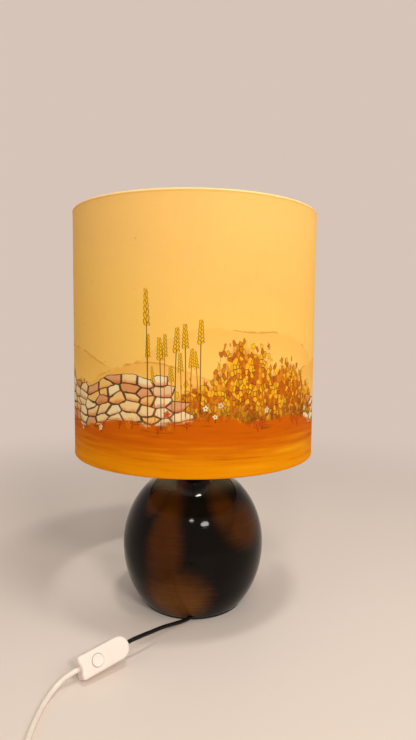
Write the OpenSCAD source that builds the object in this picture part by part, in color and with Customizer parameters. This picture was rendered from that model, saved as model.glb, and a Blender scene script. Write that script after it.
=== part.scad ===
// Table lamp: a round glazed base, a drum shade on a lampholder, and a cord with a push switch.
// Millimetres, +Z up. The origin is on the table, under the middle of the foot.

/* [Shade] */
// Outer diameter of the drum shade
shade_d = 350; // [320:1:400]
// Height of the drum shade
shade_h = 342; // [300:1:400]
// Thickness of the shade's laminated cloth
shade_wall = 1.2; // [0.8:0.1:1.6]
// Diameter of the wire in each rolled edge
wire_d = 3; // [2:0.1:4]
// Height of the hem that is folded in over each wire
hem_h = 8; // [7:0.5:12]
// Height of the fitter ring above the shade's lower edge
spider_drop = 42; // [30:1:50]
// Diameter of the spider's arms
arm_d = 4; // [3:0.1:5]
// Number of the spider's arms
arm_count = 3; // [3:1:4]
// Thickness of the fitter ring
fitter_t = 2; // [1.5:0.1:3]
// Width of the fitter ring that shows outside the clamping rings
fitter_lip = 5; // [4:0.5:8]

/* [Glazed base] */
// Widest diameter of the round base
ball_d = 211; // [190:1:230]
// Height of the widest line above the foot's underside
ball_low_h = 85; // [75:1:95]
// Height of the crown's pole above the widest line
ball_high_h = 116; // [105:1:125]
// Thickness of the ceramic wall
ball_wall = 6; // [5:0.5:8]
// Diameter of the foot
foot_d = 152; // [140:1:165]
// Width of the foot ring that the base stands on
foot_ring_w = 14; // [10:1:18]
// Thickness of the foot ring
foot_ring_t = 6; // [4:0.5:8]
// Diameter of the flat land on the crown
crown_d = 30; // [28:1:34]
// Thickness of the felt under the foot
felt_t = 2; // [1.5:0.1:3]
// Inset of the felt from the foot's edge
felt_inset = 1; // [0.5:0.1:2]

/* [Cord outlet] */
// Diameter of the rubber bush in the foot's outlet
bush_d = 8; // [7:0.1:9]
// Heading of the outlet, from +X towards +Y
outlet_heading = 230; // [225:1:235]
// Overhang of the bush on each side of the foot ring
bush_proud = 1.2; // [0.8:0.1:2]

/* [Neck] */
// Outer diameter of the threaded tube
thread_d = 10; // [9:0.1:11]
// Bore of the threaded tube
thread_bore = 7; // [6:0.1:7.4]
// Length of tube that stands out below the crown nut
thread_spare = 3; // [2:0.5:8]
// Width across the flats of the nuts
nut_af = 14; // [13:0.5:15]
// Thickness of the nuts
nut_t = 3.5; // [3:0.1:4.5]
// Diameter of the washer under the crown
washer_d = 26; // [22:1:30]
// Thickness of the washer under the crown
washer_t = 2; // [1:0.1:3]
// Diameter of the domed cap on the crown
cap_d = 36; // [32:1:40]
// Height of the domed cap
cap_h = 8; // [6:0.5:10]
// Height of the cap's upright rim
cap_rim_h = 1.5; // [1:0.1:2.5]
// Diameter of the spacer above the cap
spacer_d = 13; // [12:0.5:15]
// Height of the spacer
spacer_h = 16; // [12:0.5:24]

/* [Lampholder] */
// Outer diameter of the lampholder
holder_d = 40; // [39:0.5:43]
// Wall of the lampholder
holder_wall = 2.2; // [1.8:0.1:2.6]
// Height of the holder's domed cap
holder_cap_h = 26; // [24:0.5:30]
// Height of the cap's rounded part
holder_dome_h = 20; // [17:0.5:21]
// Diameter of the cap's flat underside
holder_foot_d = 18; // [17:0.5:20]
// Thickness of the cap's floor
holder_floor_t = 3; // [2.5:0.1:4]
// Height of the holder's sleeve
sleeve_h = 43; // [40:0.5:50]
// Height of the insulating core
core_h = 12; // [10:0.5:14]
// Depth of the core's seat in the cap
core_seat = 6; // [5:0.5:7]
// Height of the centre contact's tongue above the core
tongue_h = 3.4; // [2.5:0.1:4]
// Height of the side contact above the core
side_contact_h = 11; // [9:0.5:12]
// Thickness of the contact strips
strip_t = 0.6; // [0.4:0.1:0.8]
// Width of the contact strips
strip_w = 6; // [4:0.5:7]
// Distance of the terminal screws from the middle
terminal_r = 9.5; // [8.5:0.1:10]
// Outer diameter of the two clamping rings
ring_d = 58; // [54:1:62]
// Height of each clamping ring
ring_h = 8; // [6:0.5:9]
// Height of the shade's seat above the sleeve's lower rim
ring_seat = 19.2; // [18:0.2:22]
// Number of grip flutes on each clamping ring
ring_flutes = 16; // [12:1:20]

/* [Bulb] */
// Diameter of the bulb
bulb_d = 60; // [45:1:65]
// Length of the bulb with its cap
bulb_l = 105; // [98:1:115]
// Diameter of the bulb's screw cap
bulb_cap_d = 26.2; // [25.5:0.1:26.6]
// Height of the bulb's screw cap
bulb_cap_h = 20; // [18:0.5:22]
// Number of turns of thread on the cap
bulb_threads = 5; // [4:1:6]
// Wall of the bulb's glass
glass_wall = 0.8; // [0.6:0.1:1.2]

/* [Switch] */
// Length of the switch
switch_l = 64; // [64:1:76]
// Width of the switch
switch_w = 26.5; // [26.5:0.5:32]
// Height of the switch
switch_h = 20; // [20:0.5:24]
// Lean of the switch on its long lower edge, towards the viewer
switch_roll = 60; // [0:1:60]
// Rise of the switch's round end, which its stiff lead holds up
switch_pitch = 7; // [0:1:10]
// Wall of the switch's shells
switch_wall = 2; // [1.6:0.1:2.2]
// Radius of the switch's corners at the straight end
switch_corner = 3; // [2:0.5:4]
// Depth of the hollow at the straight end
notch_depth = 3; // [2:0.1:4]
// Radius of the hollow at the straight end
notch_r = 20; // [18:0.5:30]
// Diameter of the push button
button_d = 14; // [12:0.5:15]
// Height of the button above the cover
button_proud = 1.6; // [1:0.1:2]
// Travel of the push button
button_travel = 2.5; // [2:0.1:2.8]
// Distance of the button from the switch's middle, towards the straight end
button_off = 10.5; // [10:0.5:12]
// Diameter of the button's guide stem
stem_d = 6; // [5:0.1:6.4]
// Wire diameter of the button's spring
spring_wire = 0.8; // [0.6:0.1:1]
// Turns of the button's spring
spring_turns = 4; // [3:1:5]
// Diameter of the switch's screws
screw_d = 3; // [2.5:0.1:3.2]

/* [Cords] */
// Diameter of the black lead between the base and the switch
black_d = 5; // [4.5:0.1:5.4]
// Diameter of the white lead between the switch and the plug
white_d = 6; // [5:0.1:6.2]
// Radius of the coil's outer turn
coil_r = 47; // [46:0.5:48]
// Step from turn to turn, and from layer to layer, of the coil
coil_pitch = 6.6; // [6.5:0.05:6.8]
// Turns in each of the coil's two layers
coil_turns = 3.125; // [2.125:1:3.125]
// Thickness of the band that ties the coil
tie_t = 1; // [0.6:0.1:1.2]
// Width of the band that ties the coil
tie_w = 9; // [6:0.5:12]

/* [Plug] */
// Length of the plug's body
plug_l = 36; // [32:1:40]
// Width of the plug's body at its face
plug_w = 27; // [25:0.5:30]
// Width of the plug's body at the cord
plug_neck_w = 15; // [14:0.5:18]
// Thickness of the plug's body
plug_t = 14; // [13:0.5:16]
// Diameter of the plug's pins
pin_d = 4; // [3.8:0.1:4.2]
// Diameter of each pin's root inside the plug
pin_root_d = 5.4; // [5:0.1:6]
// Length of the plug's pins
pin_l = 19; // [17:0.5:20]
// Distance between the plug's pins
pin_spacing = 18.6; // [18:0.1:19.2]
// Length of the ribbed boot on the cord
boot_l = 22; // [20:1:30]
// Number of ribs on the boot
boot_ribs = 6; // [4:1:8]

/* [Fits] */
// Gap between fixed pieces that fit into each other
fit_gap = 0.1; // [0.05:0.05:0.15]
// Gap between pieces that move past each other
run_gap = 0.3; // [0.2:0.05:0.4]
// Gap above and below the clamped fitter ring
clamp_gap = 0.2; // [0.1:0.05:0.3]

/* [Hidden] */
$fn = 72;

// Base, from the table up
ball_r = ball_d / 2;
foot_r = foot_d / 2;
crown_r = crown_d / 2;
mid_z = felt_t + ball_low_h;
// Half height of the ellipse that runs from the foot to the widest line
low_axis = ball_low_h / sqrt(1 - pow(foot_r / ball_r, 2));
crown_z = mid_z + ball_high_h * sqrt(1 - pow(crown_r / ball_r, 2));
crown_under_z = crown_z - ball_wall;
lip_z = felt_t + foot_ring_t;
lip_r = foot_r - foot_ring_w;
bush_r = bush_d / 2;
outlet_z = felt_t + bush_r;
// Length of the cut for the outlet, long enough to pass the slanting foot ring
outlet_cut = 4 * foot_ring_w;

// Neck
thread_r = thread_d / 2;
passing_r = thread_r + fit_gap;
cap_r = cap_d / 2;
spacer_r = spacer_d / 2;
cap_top_z = crown_z + cap_h;
holder_z = cap_top_z + spacer_h;
tube_low_z = crown_under_z - washer_t - nut_t - thread_spare;
tube_high_z = holder_z + holder_floor_t + nut_t + 1;

// Lampholder
holder_r = holder_d / 2;
seat_r = holder_r - holder_wall;
sleeve_z = holder_z + holder_cap_h;
core_z = sleeve_z - core_seat;
core_top_z = core_z + core_h;
// Radius of the ledge in the cap that the core sits on
ledge_r = seat_r - 2.8;
nut_corner_r = nut_af / 2 / cos(30);
cavity_r = nut_corner_r + 4 * fit_gap;
bulb_cap_r = bulb_cap_d / 2;
bulb_z = core_top_z + tongue_h + fit_gap;
thread_zone_z = core_top_z + side_contact_h + 1.5;
sleeve_bore_r = bulb_cap_r + 5 * fit_gap;
contact_bore_r = bulb_cap_r + 3.4;
ring_r = ring_d / 2;
fitter_z = sleeve_z + ring_seat + clamp_gap;
upper_ring_z = fitter_z + fitter_t + clamp_gap;
terminal_d = 2.8;
terminal_head_d = 4.4;
terminal_head_h = 1.4;
terminal_tail = 3;

// Bulb
tip_h = 1.5;
tip_r = 4.5;
insulator_h = 4;
shell_z = bulb_z + tip_h + insulator_h;
glass_z = shell_z + bulb_cap_h;
bulb_top_z = bulb_z + bulb_l;
neck_r = bulb_cap_r - 1.6;
bulb_r = bulb_d / 2;
bulb_mid_z = bulb_top_z - bulb_r;

// Shade
shade_z = fitter_z - spider_drop;
shade_top_z = shade_z + shade_h;
shade_r = shade_d / 2;
skin_r = shade_r - shade_wall;
wire_gap = 2 * fit_gap;
wire_r = skin_r - wire_gap - wire_d / 2;
hem_out_r = wire_r - wire_d / 2 - wire_gap;
hem_in_r = hem_out_r - shade_wall;
wire_edge = shade_wall + wire_gap + wire_d / 2;
fitter_bore_r = holder_r + run_gap;
fitter_r = ring_r + fitter_lip;
arm_start_r = ring_r + 1.5;
arm_end_z = shade_z + hem_h / 2;
arm_first = 30;

// Switch, in its own frame: its length runs along X with the straight end at -X
switch_at = [-111.7, -181.2];
switch_heading = 37.9;
split_z = switch_h / 2;
sole_inset = 1.6;
sole_h = 1.4;
sole_rim = 0.3;
// Its lowest corner, at the straight end, lies on the table, and its stiff leads hold it there
fall = sqrt(pow(sin(switch_pitch), 2) + pow(sin(switch_roll) * cos(switch_pitch), 2));
function corner_fall(z, inset) = let (corner = max(switch_corner - inset, 0.4))
    (switch_l / 2 - inset - corner) * sin(switch_pitch) + corner * fall
        + ((switch_w / 2 - inset - corner) * sin(switch_roll) - z * cos(switch_roll)) * cos(switch_pitch);
switch_lift = max(corner_fall(0, sole_inset), corner_fall(sole_h, sole_rim), corner_fall(split_z, 0));
function on_switch(p) = let (
    y = p.y * cos(switch_roll) - p.z * sin(switch_roll), up = p.y * sin(switch_roll) + p.z * cos(switch_roll),
    x = p.x * cos(switch_pitch) - up * sin(switch_pitch), z = p.x * sin(switch_pitch) + up * cos(switch_pitch))
    [switch_at.x + x * cos(switch_heading) - y * sin(switch_heading),
        switch_at.y + x * sin(switch_heading) + y * cos(switch_heading), switch_lift + z];
roof_z = switch_h - switch_wall;
button_r = button_d / 2;
flange_r = button_r + 1.6;
flange_t = 2.2;
flange_z = roof_z - run_gap - flange_t;
stem_r = stem_d / 2;
bridge_t = 0.6;
bridge_z = flange_z - bridge_t;
bridge_l = 21;
bridge_w = 8;
guide_z = 7;
stem_low_z = switch_wall + button_travel + run_gap;
contact_top_z = bridge_z - button_travel - run_gap;
contact_reach = 11;
contact_tab = 3.6;
contact_w = 4;
contact_t = 0.8;
boss_r = 3.4;
screw_at = [[17, -8.2], [-27, 8.2]];
screw_head_d = 5.2;
screw_head_h = 2;
screw_recess = 0.4;
clamp_l = 4;
clamp_w = 9;
clamp_x = [-switch_l / 2 + notch_depth + switch_wall + clamp_l / 2 + 1, switch_l / 2 - 8];
link_y = 8.6;
link_w = 3;
link_l = 32;

// Routes of the leads, in points chosen by hand
inner_route = [[0, 0, 238], [0, 0, 226], [0, 0, 212], [0, 0, 198], [0, 0, 184], [2, 1, 170], [7, 3, 152],
    [14, 4, 132], [22, 2, 112], [29, -3, 92], [35, -9, 72], [38, -15, 54], [38, -21, 38], [35, -27, 24],
    [30.5, -36, 14], [22.5, -48, 8], [14.8, -58.4, 6], [0, -76, 6], [-2, -78.4, 6]];
black_route = [[-2, -78.4, 6], [-4, -80.8, 6], [-8.6, -86.4, 6.5], [-14.2, -92.8, 7.8], [-20.8, -100.2, 9.8],
    [-28, -108.4, 12.2], [-35.2, -117.2, 14.9], [-42, -126.6, 17.7], [-48.4, -136, 20.2], [-54.6, -144.4, 22.2],
    [-60.8, -151.4, 23.6], on_switch([switch_l / 2 + 18, 0, split_z]) + [0, 0, -1],
    on_switch([switch_l / 2 + 9, 0, split_z]), on_switch([switch_l / 2, 0, split_z]),
    on_switch([switch_l / 2 - 10, 0, split_z])];
// Height of the white lead's middle line where it lies on the table, and in the coil's lower layer
lie_z = white_d / 2;
coil_low_z = lie_z + tie_t + 2 * fit_gap;
white_route = [on_switch([-switch_l / 2 + 8, 0, split_z]), on_switch([-switch_l / 2 - 1, 0, split_z]),
    on_switch([-switch_l / 2 - 7, 0, split_z]), [-142, -215.4, 12.9], [-146.2, -218.8, 11.2], [-150, -222.6, 9.2],
    [-153.3, -227.2, 7.1], [-156.2, -232.8, 5.2], [-158.8, -239.8, lie_z + 0.7], [-160.8, -248.4, lie_z],
    [-161.8, -258.6, lie_z], [-162.3, -269, lie_z], [-162.6, -280, lie_z], [-162.6, -291, lie_z],
    [-162.2, -303, lie_z], [-161.4, -317, lie_z], [-160.6, -333, lie_z], [-160, -348, lie_z + 0.6],
    [-160, -362, coil_low_z], [-160, -374, coil_low_z]];

// Coil, wound round its own middle, from the end of the white lead
coil_mid = [-160 + coil_r, -374 - white_d];
coil_start = 180;
coil_rings = 24;

// The tail leads from the coil's upper layer down to the plug
tail_y = coil_mid.y - coil_r;
tail_x = coil_mid.x + white_d;
tail_z = coil_low_z + coil_pitch;
plug_z = plug_t / 2;
plug_pos = [tail_x + 65, tail_y, plug_z];
tail_route = [[tail_x, tail_y, tail_z], [tail_x + 8, tail_y, tail_z], [tail_x + 19, tail_y, plug_z + 2.4],
    [tail_x + 29, tail_y, plug_z + 0.6], [tail_x + 40, tail_y, plug_z], [tail_x + 52, tail_y, plug_z],
    [tail_x + 65, tail_y, plug_z]];

// Sweep helpers
function unit(v) = v / norm(v);
function heading(path, i) = unit(path[min(i + 1, len(path) - 1)] - path[max(i - 1, 0)]);
function ring_points(path, i, r, sides, ref) = let (
    t = heading(path, i), s = unit(cross(t, ref)), u = cross(s, t))
    [for (k = [0 : sides - 1]) path[i] + r * (cos(360 * k / sides) * s + sin(360 * k / sides) * u)];
function path_length(path) = len(path) < 2 ? 0
    : [for (i = [1 : len(path) - 1]) norm(path[i] - path[i - 1])] * [for (i = [1 : len(path) - 1]) 1];
function least_gap(path, d, skip) = min([for (i = [0 : len(path) - 1 - skip])
    min([for (j = [i + skip : len(path) - 1]) norm(path[i] - path[j])])]) - d;
function smooth(x) = let (c = min(max(x, 0), 1)) c * c * (3 - 2 * c);

// One unbroken round tube along a path, in triangles
module tube(path, d, sides, ref = [0, 0, 1]) {
    n = len(path);
    points = [for (i = [0 : n - 1]) each ring_points(path, i, d / 2, sides, ref)];
    walls = [for (i = [0 : n - 2]) for (k = [0 : sides - 1]) let (
        a = i * sides + k, b = i * sides + (k + 1) % sides) each [[a, b, a + sides], [b, b + sides, a + sides]]];
    first = [for (k = [1 : sides - 2]) [0, k + 1, k]];
    last = [for (k = [1 : sides - 2]) [0, k, k + 1] + (n - 1) * sides * [1, 1, 1]];
    polyhedron(points, concat(walls, first, last));
}

// A coil spirals in on the table, climbs one layer as it turns back, and spirals out again on top
coil_sweep = 720 * coil_turns;
function coil_point(t) = let (
    r = coil_r - coil_pitch * min(t, coil_sweep - t) / 360,
    a = coil_start + t,
    climb = smooth((t - coil_sweep / 2) / 180 + 0.5))
    [coil_mid.x + r * cos(a), coil_mid.y + r * sin(a), coil_low_z + coil_pitch * climb];
function coil_tangent(t) = [-sin(coil_start + t), cos(coil_start + t), 0];
coil_steps = coil_rings * 2 * coil_turns;
coil_path = [coil_point(0) - white_d * coil_tangent(0),
    for (i = [0 : coil_steps]) coil_point(coil_sweep * i / coil_steps),
    coil_point(coil_sweep) + white_d * coil_tangent(coil_sweep)];

// The button's spring, closed to its seats by half its wire
spring_low_z = guide_z + spring_wire / 2;
spring_high_z = bridge_z - spring_wire / 2;
spring_r = stem_r + spring_wire / 2 + 2 * run_gap;
spring_path = [for (i = [0 : 8 * spring_turns]) let (a = 45 * i)
    [-button_off + spring_r * cos(a), spring_r * sin(a),
        spring_low_z + (spring_high_z - spring_low_z) * i / (8 * spring_turns)]];

echo(str("coil: least gap to itself ", least_gap(coil_path, white_d, coil_rings / 2), " mm, length ",
    path_length(coil_path), " mm"));
echo(str("leads: inner ", path_length(inner_route), ", black ", path_length(black_route), ", white ",
    path_length(white_route), ", tail ", path_length(tail_route), " mm"));
echo(str("spring: least gap to itself ", least_gap(spring_path, spring_wire, 4), " mm"));

// Shapes that repeat
function arc(a, c, z, from, to, n) = [for (i = [0 : n]) let (t = from + (to - from) * i / n)
    [a * cos(t), z + c * sin(t)]];

module ring(r, bore, h) {
    difference() {
        cylinder(r = r, h = h);
        translate([0, 0, -1]) cylinder(r = bore, h = h + 2);
    }
}

module hex_nut() {
    difference() {
        cylinder(r = nut_corner_r, h = nut_t, $fn = 6);
        translate([0, 0, -1]) cylinder(r = passing_r, h = nut_t + 2);
    }
}

module rounded_rect(w, h, r) {
    translate([-w / 2 + r, -h / 2]) square([w - 2 * r, h]);
    translate([-w / 2, -h / 2 + r]) square([w, h - 2 * r]);
    for (x = [-1, 1], y = [-1, 1]) translate([x * (w / 2 - r), y * (h / 2 - r)]) circle(r);
}

// Glazed base and what it stands on
module along_outlet() {
    translate([0, -foot_r, outlet_z]) rotate([0, 0, outlet_heading]) rotate([90, 0, 90]) children();
}

module outlet_outline(r, depth) {
    circle(r);
    translate([-r, -depth]) square([2 * r, depth]);
}

function ball_section() = let (
    foot_angle = asin(ball_low_h / low_axis),
    crown_angle = acos(crown_r / ball_r),
    in_r = ball_r - ball_wall,
    in_low = low_axis - ball_wall,
    in_high = ball_high_h - ball_wall,
    in_crown_angle = asin((crown_under_z - mid_z) / in_high),
    in_foot_angle = asin((mid_z - lip_z) / in_low))
    concat(arc(ball_r, low_axis, mid_z, -foot_angle, 0, 14), arc(ball_r, ball_high_h, mid_z, 6, crown_angle, 16),
        [[passing_r, crown_z], [passing_r, crown_under_z]],
        arc(in_r, in_high, mid_z, in_crown_angle, 6, 14), arc(in_r, in_low, mid_z, 0, -in_foot_angle, 12),
        [[lip_r, lip_z], [lip_r, felt_t]]);

module base_ball() {
    color("#2b1a10") difference() {
        rotate_extrude() polygon(ball_section());
        along_outlet() linear_extrude(outlet_cut, center = true) outlet_outline(bush_r + fit_gap, bush_r + 1);
    }
}

module foot_felt() {
    color("#151414") cylinder(r = foot_r - felt_inset, h = felt_t);
}

module cord_bush() {
    color("#0c0c0c") intersection() {
        along_outlet() linear_extrude(outlet_cut, center = true) difference() {
            outlet_outline(bush_r, bush_r);
            circle(black_d / 2 + fit_gap);
        }
        translate([0, 0, felt_t]) ring(foot_r + bush_proud, lip_r - bush_proud, bush_d);
    }
}

// Neck between the base and the lampholder
module crown_washer() {
    color("silver") translate([0, 0, crown_under_z - washer_t]) ring(washer_d / 2, passing_r, washer_t);
}

module crown_nut() {
    color("silver") translate([0, 0, crown_under_z - washer_t - nut_t]) hex_nut();
}

module threaded_tube() {
    color("silver") translate([0, 0, tube_low_z]) ring(thread_r, thread_bore / 2, tube_high_z - tube_low_z);
}

module top_cap() {
    dome_r = spacer_r + 1;
    dome = [for (t = [0 : 10 : 90])
        [dome_r + (cap_r - dome_r) * cos(t), cap_rim_h + (cap_h - cap_rim_h) * sin(t)]];
    color("#101010") translate([0, 0, crown_z]) rotate_extrude()
        polygon(concat([[passing_r, 0], [cap_r, 0]], dome, [[passing_r, cap_h]]));
}

module neck_spacer() {
    color("#101010") translate([0, 0, cap_top_z]) ring(spacer_r, passing_r, spacer_h);
}

// Lampholder
module holder_cap() {
    foot = holder_foot_d / 2;
    seat = holder_cap_h - core_seat;
    outside = [for (u = [0 : 9 : 90]) [foot + (holder_r - foot) * sin(u), holder_dome_h * (1 - cos(u))]];
    inside = [for (u = [90 : -9 : 0])
        [cavity_r + (ledge_r - cavity_r) * sin(u), holder_floor_t + (seat - holder_floor_t) * (1 - cos(u))]];
    color("#141414") translate([0, 0, holder_z]) rotate_extrude() polygon(concat([[passing_r, 0]], outside,
        [[holder_r, holder_cap_h], [seat_r, holder_cap_h], [seat_r, seat]], inside, [[passing_r, holder_floor_t]]));
}

module holder_locknut() {
    color("silver") translate([0, 0, holder_z + holder_floor_t]) hex_nut();
}

module holder_core() {
    color("ivory") translate([0, 0, core_z]) difference() {
        cylinder(r = seat_r - fit_gap, h = core_h);
        for (x = [-terminal_r, terminal_r])
            translate([x, 0, -1]) cylinder(r = terminal_d / 2 + fit_gap, h = core_h + 2);
    }
}

module contact_strip(outline) {
    color("goldenrod") translate([0, strip_w / 2, core_top_z]) rotate([90, 0, 0]) difference() {
        linear_extrude(strip_w) polygon(outline);
        for (x = [-terminal_r, terminal_r]) translate([x, -1, strip_w / 2]) rotate([-90, 0, 0])
            cylinder(r = terminal_d / 2 + fit_gap, h = strip_t + 2);
    }
}

module centre_contact() {
    far = -terminal_r - 3;
    near = -terminal_r + 3;
    contact_strip([[far, 0], [near, 0], [-2.6, tongue_h - strip_t], [tip_r, tongue_h - strip_t], [tip_r, tongue_h],
        [-3, tongue_h], [near - 0.4, strip_t], [far, strip_t]]);
}

module side_contact() {
    leg = bulb_cap_r + fit_gap;
    near = terminal_r - 3;
    contact_strip([[near, 0], [leg + strip_t, 0], [leg + strip_t, side_contact_h], [leg, side_contact_h],
        [leg, strip_t], [near, strip_t]]);
}

module terminal_screws() {
    color("goldenrod") for (x = [-terminal_r, terminal_r]) translate([x, 0, 0]) {
        translate([0, 0, core_z - terminal_tail]) cylinder(d = terminal_d, h = core_h + strip_t + terminal_tail);
        translate([0, 0, core_top_z + strip_t]) cylinder(d = terminal_head_d, h = terminal_head_h);
    }
}

module holder_sleeve() {
    top_z = sleeve_z + sleeve_h;
    recess_z = core_top_z + fit_gap;
    color("#141414") rotate_extrude() polygon([[seat_r, sleeve_z], [holder_r, sleeve_z], [holder_r, top_z - 1],
        [holder_r - 1, top_z], [sleeve_bore_r, top_z], [sleeve_bore_r, thread_zone_z],
        [contact_bore_r, thread_zone_z], [contact_bore_r, recess_z], [seat_r, recess_z]]);
}

module clamping_ring() {
    difference() {
        ring(ring_r, holder_r + fit_gap, ring_h);
        for (i = [0 : ring_flutes - 1]) rotate([0, 0, 360 * i / ring_flutes])
            translate([ring_r + 1, 0, -1]) cylinder(r = 2, h = ring_h + 2, $fn = 24);
    }
}

module shade_ring_lower() {
    color("#141414") translate([0, 0, sleeve_z + ring_seat - ring_h]) clamping_ring();
}

module shade_ring_upper() {
    color("#141414") translate([0, 0, upper_ring_z]) clamping_ring();
}

// Bulb
module bulb_contact() {
    color("silver") translate([0, 0, bulb_z]) cylinder(r = tip_r, h = tip_h);
}

module bulb_insulator() {
    color("#202020") translate([0, 0, bulb_z + tip_h])
        cylinder(r1 = tip_r + 0.6, r2 = neck_r - fit_gap, h = insulator_h);
}

module bulb_cap() {
    inner_r = neck_r + fit_gap;
    crest = [for (i = [0 : 8 * bulb_threads]) [bulb_cap_r - 0.35 * (1 - cos(45 * i)),
        1 + (bulb_cap_h - 3) * i / (8 * bulb_threads)]];
    color("silver") translate([0, 0, shell_z]) rotate_extrude() polygon(concat([[0, 0], [bulb_cap_r - 0.7, 0]],
        crest, [[bulb_cap_r - 0.4, bulb_cap_h], [inner_r, bulb_cap_h], [inner_r, 1], [0, 1]]));
}

module bulb_glass() {
    low_z = shell_z + 1 + fit_gap;
    // The flank runs from the neck to the round top on a smooth curve
    flank = [for (i = [0 : 12]) let (s = i / 12) [s, glass_z + (bulb_mid_z - glass_z) * s]];
    function wall(inset) = concat([[neck_r - inset, low_z]],
        [for (p = flank) [neck_r - inset + (bulb_r - neck_r) * smooth(p[0]), p[1]]],
        [for (t = [7.5 : 7.5 : 90]) [max((bulb_r - inset) * cos(t), 0), bulb_mid_z + (bulb_r - inset) * sin(t)]]);
    inner = wall(glass_wall);
    color("white", 0.6) rotate_extrude()
        polygon(concat(wall(0), [for (i = [len(inner) - 1 : -1 : 0]) inner[i]]));
}

// Shade
module shade_skin() {
    // Both edges are folded in, over a wire, to a hem
    color("#f2b45a") rotate_extrude() polygon([[shade_r, shade_z], [shade_r, shade_top_z], [hem_in_r, shade_top_z],
        [hem_in_r, shade_top_z - hem_h], [hem_out_r, shade_top_z - hem_h], [hem_out_r, shade_top_z - shade_wall],
        [skin_r, shade_top_z - shade_wall], [skin_r, shade_z + shade_wall], [hem_out_r, shade_z + shade_wall],
        [hem_out_r, shade_z + hem_h], [hem_in_r, shade_z + hem_h], [hem_in_r, shade_z]]);
}

module edge_wire(z) {
    color("silver") rotate_extrude() translate([wire_r, z]) circle(d = wire_d, $fn = 24);
}

module shade_wire_top() {
    edge_wire(shade_top_z - wire_edge);
}

module shade_wire_bottom() {
    edge_wire(shade_z + wire_edge);
}

module shade_spider() {
    middle_z = fitter_z + fitter_t / 2;
    reach = hem_in_r - arm_start_r;
    slope = atan2(arm_end_z - middle_z, reach);
    color("white") {
        translate([0, 0, fitter_z]) ring(fitter_r, fitter_bore_r, fitter_t);
        intersection() {
            for (i = [0 : arm_count - 1]) rotate([0, 0, arm_first + 360 * i / arm_count])
                translate([arm_start_r, 0, middle_z]) rotate([0, 90 - slope, 0])
                    cylinder(d = arm_d, h = reach / cos(slope) + arm_d, $fn = 24);
            translate([0, 0, shade_z]) cylinder(r = hem_in_r - run_gap, h = shade_h);
        }
    }
}

// In-line switch
module at_switch() {
    translate([switch_at.x, switch_at.y, switch_lift]) rotate([switch_roll, -switch_pitch, switch_heading])
        children();
}

module switch_outline(inset) {
    l = switch_l / 2;
    w = switch_w / 2 - inset;
    corner = max(switch_corner - inset, 0.4);
    left = -l + inset;
    translate([left + corner, -w]) square([2 * l - inset - switch_w / 2 - corner, 2 * w]);
    translate([left, -w + corner]) square([2 * corner, 2 * (w - corner)]);
    for (y = [-1, 1]) translate([left + corner, y * (w - corner)]) circle(corner, $fn = 24);
    translate([l - switch_w / 2, 0]) circle(w, $fn = 48);
}

module switch_slice(z, inset) {
    translate([0, 0, z]) linear_extrude(0.01) switch_outline(inset);
}

module end_hollow() {
    translate([-switch_l / 2 - notch_r + notch_depth, 0, -1]) cylinder(r = notch_r, h = switch_h + 2);
}

module cord_ways() {
    translate([-switch_l / 2 - 1, 0, split_z]) rotate([0, 90, 0])
        cylinder(r = white_d / 2 + 2 * fit_gap, h = switch_l / 2);
    translate([0, 0, split_z]) rotate([0, 90, 0]) cylinder(r = black_d / 2 + 2 * fit_gap, h = switch_l / 2 + 1);
}

// The room inside a shell stays clear of the hollow at the straight end
module shell_room(z, h) {
    translate([0, 0, z]) linear_extrude(h) difference() {
        switch_outline(switch_wall);
        translate([-switch_l / 2 - notch_r + notch_depth, 0]) circle(notch_r + switch_wall);
    }
}

module screw_bosses(z, h) {
    for (p = screw_at) translate([p.x, p.y, z]) cylinder(r = boss_r, h = h);
}

module switch_base() {
    color("#f4efe6") at_switch() difference() {
        union() {
            difference() {
                hull() {
                    switch_slice(0, sole_inset);
                    switch_slice(sole_h, sole_rim);
                    switch_slice(split_z - 0.01, 0);
                }
                shell_room(switch_wall, split_z);
            }
            intersection() {
                screw_bosses(switch_wall / 2, split_z - switch_wall / 2);
                linear_extrude(split_z) switch_outline(switch_wall / 2);
            }
            translate([-button_off, 0, switch_wall / 2])
                cylinder(r = spring_r + spring_wire, h = guide_z - switch_wall / 2);
        }
        end_hollow();
        cord_ways();
        translate([-button_off, 0, switch_wall]) cylinder(r = stem_r + run_gap, h = split_z);
        for (p = screw_at) translate([p.x, p.y, -1]) {
            cylinder(r = screw_d / 2 + fit_gap, h = switch_h);
            cylinder(r = screw_head_d / 2 + fit_gap, h = 1 + screw_recess + screw_head_h);
        }
    }
}

module switch_cover() {
    color("#f4efe6") at_switch() difference() {
        union() {
            difference() {
                hull() {
                    switch_slice(split_z, 0);
                    switch_slice(switch_h - 3.6, 0.3);
                    switch_slice(switch_h - 1.6, 1);
                    switch_slice(switch_h - 0.4, 2.4);
                    switch_slice(switch_h - 0.01, 4);
                }
                shell_room(split_z - 1, roof_z - split_z + 1);
            }
            intersection() {
                screw_bosses(split_z, roof_z - split_z + switch_wall / 2);
                translate([0, 0, split_z]) linear_extrude(split_z) switch_outline(switch_wall / 2);
            }
        }
        end_hollow();
        cord_ways();
        translate([-button_off, 0, split_z]) cylinder(r = button_r + run_gap, h = split_z + 1);
        for (p = screw_at) translate([p.x, p.y, 0]) cylinder(r = screw_d / 2 + fit_gap, h = roof_z - 1);
    }
}

module switch_button() {
    top_z = switch_h + button_proud;
    color("#f8f6f0") at_switch() translate([-button_off, 0, 0]) rotate_extrude() polygon([[0, stem_low_z],
        [stem_r, stem_low_z], [stem_r, flange_z], [flange_r, flange_z], [flange_r, flange_z + flange_t],
        [button_r, flange_z + flange_t], [button_r, top_z - 0.8], [button_r - 0.3, top_z - 0.25],
        [button_r - 0.9, top_z], [button_r - 2, top_z - 0.1], [button_r / 2, top_z - 0.4], [0, top_z - 0.5]]);
}

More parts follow.
